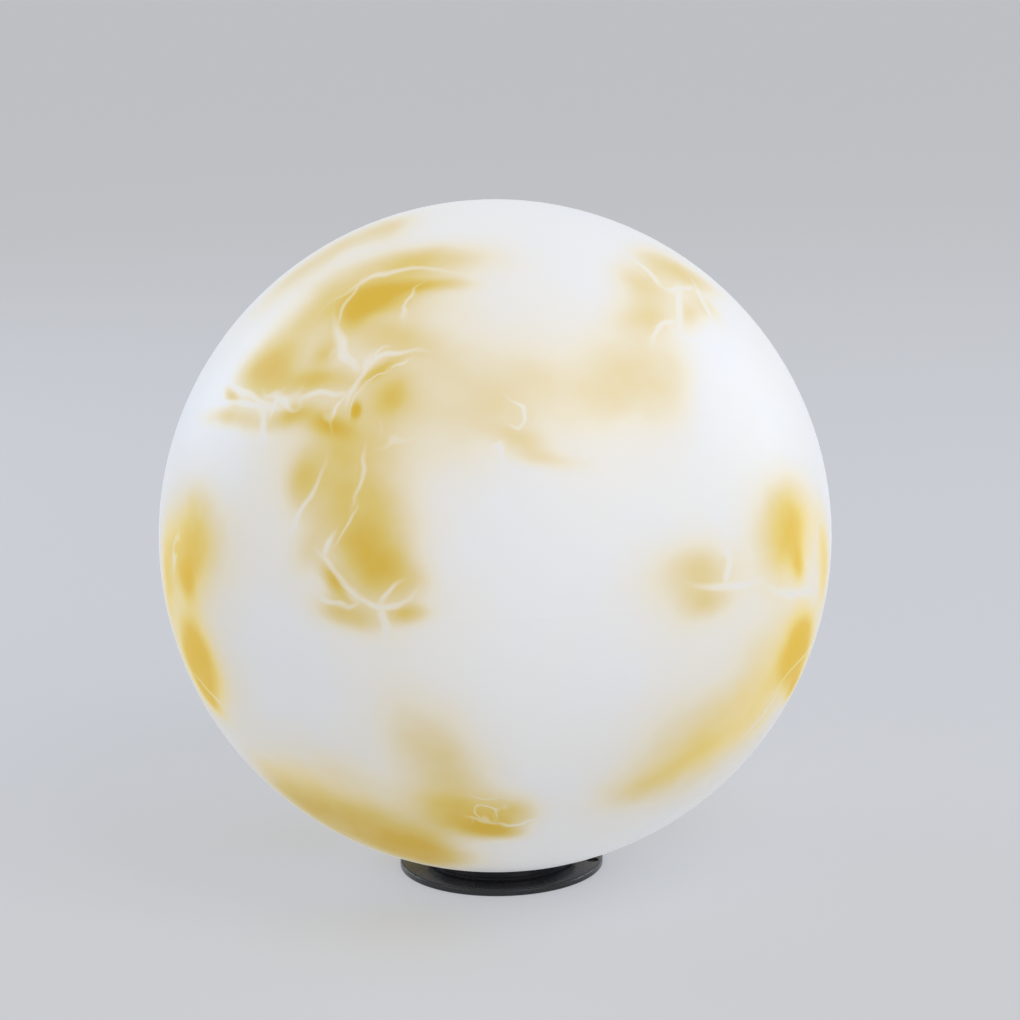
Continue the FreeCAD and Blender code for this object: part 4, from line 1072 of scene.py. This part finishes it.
class Base(Assembly):
    """The base, its wiring and the lamp holder."""

    SCREW_RISE = 1.7 * MM
    SCREW_SHANK = 1.4 * MM
    SLOT_OVERRUN = 1.5
    SLOT_HALF_WIDTH = 0.22 * MM
    SLOT_DEPTH = 0.7 * MM
    SHELL_MARGIN = 0.05 * MM
    SHELL_SWING = 0.3 * MM
    SHELL_END = 0.1 * MM
    SHELL_WALL = 0.3 * MM
    SHELL_POINTS = 8
    FINISHES = {
        Finish.BASE_BLACK: ("base_moulding",),
        Finish.SOFT_BLACK: ("collar_seal", "cable_grommet"),
        Finish.NUT_BLACK: ("cable_clamp",),
        Finish.SCREW_STEEL: (*HEADED, "wire_screws"),
        Finish.CONNECTOR_WHITE: ("terminal_block",),
        Finish.BRASS: ("terminal_inserts", "screw_shell", "centre_contact"),
        Finish.PLATE_WHITE: ("holder_plate",),
        Finish.HOLDER_WHITE: ("holder_base", "lamp_holder"),
        Finish.LEAD_BROWN: ("live_lead",),
        Finish.LEAD_BLUE: ("neutral_lead",),
    }

    def build(self) -> None:
        """Dresses the base's pieces."""
        self.dress_nodes()
        for node in HEADED:
            self.headed_screws(node)
        self.grub_screws("wire_screws")
        self.threaded_shell()

    def headed_screws(self, node: str) -> None:
        """Puts threaded screws with a cross recess in the place of a node's plain ones."""
        boxes = solids(self.frame["nodes"][node])
        low, high = boxes[0]
        depth = high.z - self.SCREW_RISE - low.z
        self.place(node, Screw(self.SCREW_SHANK, depth, (high.x - low.x) / 2, self.SCREW_RISE), boxes)

    def grub_screws(self, node: str) -> None:
        """Puts slotted, threaded screws in the place of a node's plain ones."""
        boxes = solids(self.frame["nodes"][node])
        low, high = boxes[0]
        radius = (high.x - low.x) / 2
        bar = (radius * self.SLOT_OVERRUN, self.SLOT_HALF_WIDTH)
        screw = Screw(radius, high.z - low.z, drive=Drive.SLOT, bar=bar, sunk=self.SLOT_DEPTH)
        self.place(node, screw, boxes)

    def place(self, node: str, screw: Screw, boxes: list[tuple[Vector, Vector]]) -> None:
        """Puts a screw in each box, as one piece that stands for a node.

        Args:
            node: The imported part's name.
            screw: The screw.
            boxes: The corners of each plain screw.
        """
        mesh, data = bmesh.new(), screw.build()
        for low, high in boxes:
            mesh.from_mesh(data)
            mesh.verts.ensure_lookup_table()
            seat = (low + high).xy.to_3d() / 2 + UP * (high.z - screw.rise)
            bmesh.ops.translate(mesh, vec=seat, verts=mesh.verts[-len(data.vertices) :])
        screws = finished(f"{node}_threaded", mesh, SCREW_SMOOTH_ANGLE)
        stands_for(screws, node, "base", Finish.SCREW_STEEL.material())
        log.info("%s: %d threaded", node, len(boxes))

    def threaded_shell(self) -> None:
        """Makes the holder's screw shell, whose thread is shallow so that it clears the turning bulb."""
        low, high = (Vector(corner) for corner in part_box("screw_shell"))
        outer = high.x - self.SHELL_MARGIN
        thread = Thread(outer, outer - self.SHELL_SWING, BULB_PITCH, self.SHELL_POINTS, BULB_STEPS)
        mesh = thread.side(low.z + self.SHELL_END, high.z - self.SHELL_END)
        bmesh.ops.solidify(mesh, geom=mesh.faces[:], thickness=self.SHELL_WALL)
        shell = finished("screw_shell_threaded", mesh)
        stands_for(shell, "screw_shell", "base", Finish.BRASS.material())


class Bulb(Assembly):
    """The screw-in bulb."""

    FOOT_HEIGHT = 2.9 * MM
    FOOT_INSET = 2.0 * MM
    THREAD_DEPTH = 0.9 * MM
    THREAD_POINTS = 10
    RUN_OUT = 0.5 * MM
    COLLAR_HEIGHT = 9.8 * MM
    CAP_WALL = 0.4 * MM
    FINISHES = {
        Finish.CAP_METAL: ("bulb_tip", "bulb_cap"),
        Finish.INSULATOR: ("bulb_insulator",),
        Finish.BULB_WHITE: ("bulb_housing",),
        Finish.BULB_OPAL: ("bulb_dome",),
        Finish.BOARD_WHITE: ("lamp_board",),
        Finish.CHIP_YELLOW: ("light_chips",),
        Finish.BOARD_GREEN: ("driver_board",),
        Finish.SLEEVE_BLACK: ("driver_parts",),
    }

    def build(self) -> None:
        """Dresses the bulb's pieces."""
        self.dress_nodes()
        self.threaded_cap()

    def threaded_cap(self) -> None:
        """Makes the metal cap: a narrow foot, a rolled thread, and a plain collar round the bulb's neck."""
        low, high = (Vector(corner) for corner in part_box("bulb_cap"))
        start, stop = low.z + self.FOOT_HEIGHT, high.z - self.COLLAR_HEIGHT
        root = high.x - self.THREAD_DEPTH
        mesh = Thread(high.x, root, BULB_PITCH, self.THREAD_POINTS, BULB_STEPS).side(start, stop)
        drawn_on(mesh, stop, [(high.x, stop + self.RUN_OUT), (high.x, high.z)])
        drawn_on(mesh, start, [(root, start - self.RUN_OUT), (high.x - self.FOOT_INSET, low.z)])
        bmesh.ops.recalc_face_normals(mesh, faces=mesh.faces)
        bmesh.ops.solidify(mesh, geom=mesh.faces[:], thickness=self.CAP_WALL)
        cap = finished("bulb_cap_threaded", mesh)
        stands_for(cap, "bulb_cap", "bulb", Finish.CAP_METAL.material())


# ---- Studio ----


@dataclass(frozen=True)
class Lamp:
    """A soft square lamp, not itself seen by the camera.

    Attributes:
        name: Its name.
        place: Where it hangs, in metres.
        size: Its side in metres.
        power: Its watts.
        color: Its colour.
    """

    name: str
    place: tuple[float, float, float]
    size: float
    power: float
    color: tuple[float, float, float]

    def hang(self, aim: Vector) -> None:
        """Makes the lamp, facing a place."""
        data = bpy.data.lights.new(self.name, "AREA")
        data.size = self.size
        data.energy = self.power
        data.color = self.color
        lamp = bpy.data.objects.new(self.name, data)
        bpy.context.scene.collection.objects.link(lamp)
        lamp.visible_camera = False
        place = Vector(self.place)
        facing = (aim - place).to_track_quat("-Z", "Y").to_matrix().to_4x4()
        lamp.matrix_world = Matrix.Translation(place) @ facing


@dataclass
class Studio:
    """The camera, the floor and the light.

    Attributes:
        globe_centre: The globe's centre in metres.
        lens: The lens's focal length in mm, on a 36 mm wide sensor.
        aside: How far left of the frame's middle the globe shows, as a share of the frame.
        below: How far below it.
        roll: How far the camera leans, in degrees.
    """

    globe_centre: Vector
    lens: float = 102.25
    aside: float = 14.6 / 1020
    below: float = 25.4 / 1020
    roll: float = -1.1

    SENSOR = 36.0
    CLIP_END = 100.0
    FLOOR = srgb(206, 208, 212)
    FLOOR_LIT = srgb(148, 149, 152)
    FLOOR_SHOWN = 0.6
    FLOOR_ROUGHNESS = 0.9
    FLOOR_SPECULAR = 0.1
    FLOOR_RADIUS = 14.0
    FLOOR_SIDES = 96
    LIGHT = 0.42
    BACKDROP = 0.9
    WHITE = (1.0, 1.0, 1.0, 1.0)
    COLD = (0.66, 0.79, 1.0)
    LAMPS = (
        Lamp("key_lamp", (1.3, -1.0, 1.9), 1.3, 15.2, (1.0, 0.99, 0.98)),
        Lamp("fill_lamp", (-1.6, -1.4, 0.9), 1.5, 3.2, (1.0, 0.96, 0.89)),
        Lamp("low_lamp", (1.3, -1.5, 0.5), 1.0, 2.2, (1.0, 0.97, 0.92)),
        Lamp("left_rim_lamp", (-1.6, 0.6, 0.9), 1.2, 10.8, COLD),
        Lamp("right_rim_lamp", (1.6, 1.0, 0.9), 1.2, 8.4, COLD),
    )

    def camera(self) -> None:
        """Makes the camera at the photograph's angle."""
        back = direction(FRONT.azimuth, FRONT.elevation)
        data = bpy.data.cameras.new("studio_camera")
        data.lens = self.lens
        data.sensor_width = self.SENSOR
        data.sensor_fit = "HORIZONTAL"
        data.clip_end = self.CLIP_END
        camera = bpy.data.objects.new("studio_camera", data)
        bpy.context.scene.collection.objects.link(camera)
        frame_per_metre = self.lens / self.SENSOR
        level = back.to_track_quat("Z", "Y").to_matrix()
        pan = Matrix.Rotation(-math.atan(self.aside / frame_per_metre), 3, "Y")
        tilt = Matrix.Rotation(math.atan(self.below / frame_per_metre), 3, "X")
        lean = Matrix.Rotation(math.radians(self.roll), 3, "Z")
        turned = (level @ lean @ pan @ tilt).to_4x4()
        camera.matrix_world = Matrix.Translation(self.globe_centre + back * CAMERA_DISTANCE) @ turned
        bpy.context.scene.camera = camera

    def floor(self) -> None:
        """Makes the pale floor."""
        mesh = bmesh.new()
        bmesh.ops.create_circle(mesh, cap_ends=True, segments=self.FLOOR_SIDES, radius=self.FLOOR_RADIUS)
        floor = finished("studio_floor", mesh)
        graph = MaterialGraph("studio_floor")
        seen = self.seen(graph)
        inputs = {
            "Base Color": graph.mix(seen, self.FLOOR, self.FLOOR_LIT),
            "Roughness": self.FLOOR_ROUGHNESS,
            "Specular IOR Level": self.FLOOR_SPECULAR,
            "Emission Color": self.FLOOR,
            "Emission Strength": graph.math("MULTIPLY", seen, self.FLOOR_SHOWN),
        }
        dress(floor, graph.shaded(inputs))

    @staticmethod
    def seen(graph: Graph) -> Socket:
        """Tells the rays that show the studio, straight, in a gloss or in a glass, from those that light."""
        path = graph.node("ShaderNodeLightPath").outputs
        mirrored = graph.math("ADD", path["Is Glossy Ray"], path["Is Transmission Ray"])
        return graph.math("ADD", path["Is Camera Ray"], mirrored, clamp=True)

    def world(self) -> None:
        """Gives the studio its even light, and a pale backdrop wherever it is seen."""
        world = bpy.data.worlds.new("studio_world")
        bpy.context.scene.world = world
        graph = Graph(world, "ShaderNodeOutputWorld")
        light = graph.node("ShaderNodeBackground", {"Color": self.WHITE, "Strength": self.LIGHT})
        shown = graph.node("ShaderNodeBackground", {"Color": self.FLOOR, "Strength": self.BACKDROP})
        mix = graph.node("ShaderNodeMixShader", {"Fac": self.seen(graph)})
        for target, background in zip(mix.inputs[1:], (light, shown)):
            graph.feed(target, background.outputs[0])
        graph.feed(graph.output.inputs["Surface"], mix.outputs[0])

    def build(self) -> None:
        """Sets up the whole studio."""
        self.camera()
        self.floor()
        self.world()
        for lamp in self.LAMPS:
            lamp.hang(self.globe_centre)
        bpy.context.scene.view_settings.view_transform = "Standard"
        log.info("studio is set up")


# ---- Run ----


def main() -> None:
    """Builds the dressed lamp and its studio."""
    logging.basicConfig(level=logging.INFO, format="%(name)s: %(message)s")
    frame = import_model()
    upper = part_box("globe_upper_shell")
    Studio(Vector((0.0, 0.0, upper[0][2]))).build()
    for assembly in (Globe, Base, Bulb):
        assembly(frame).build()


if __name__ == "__main__":
    main()
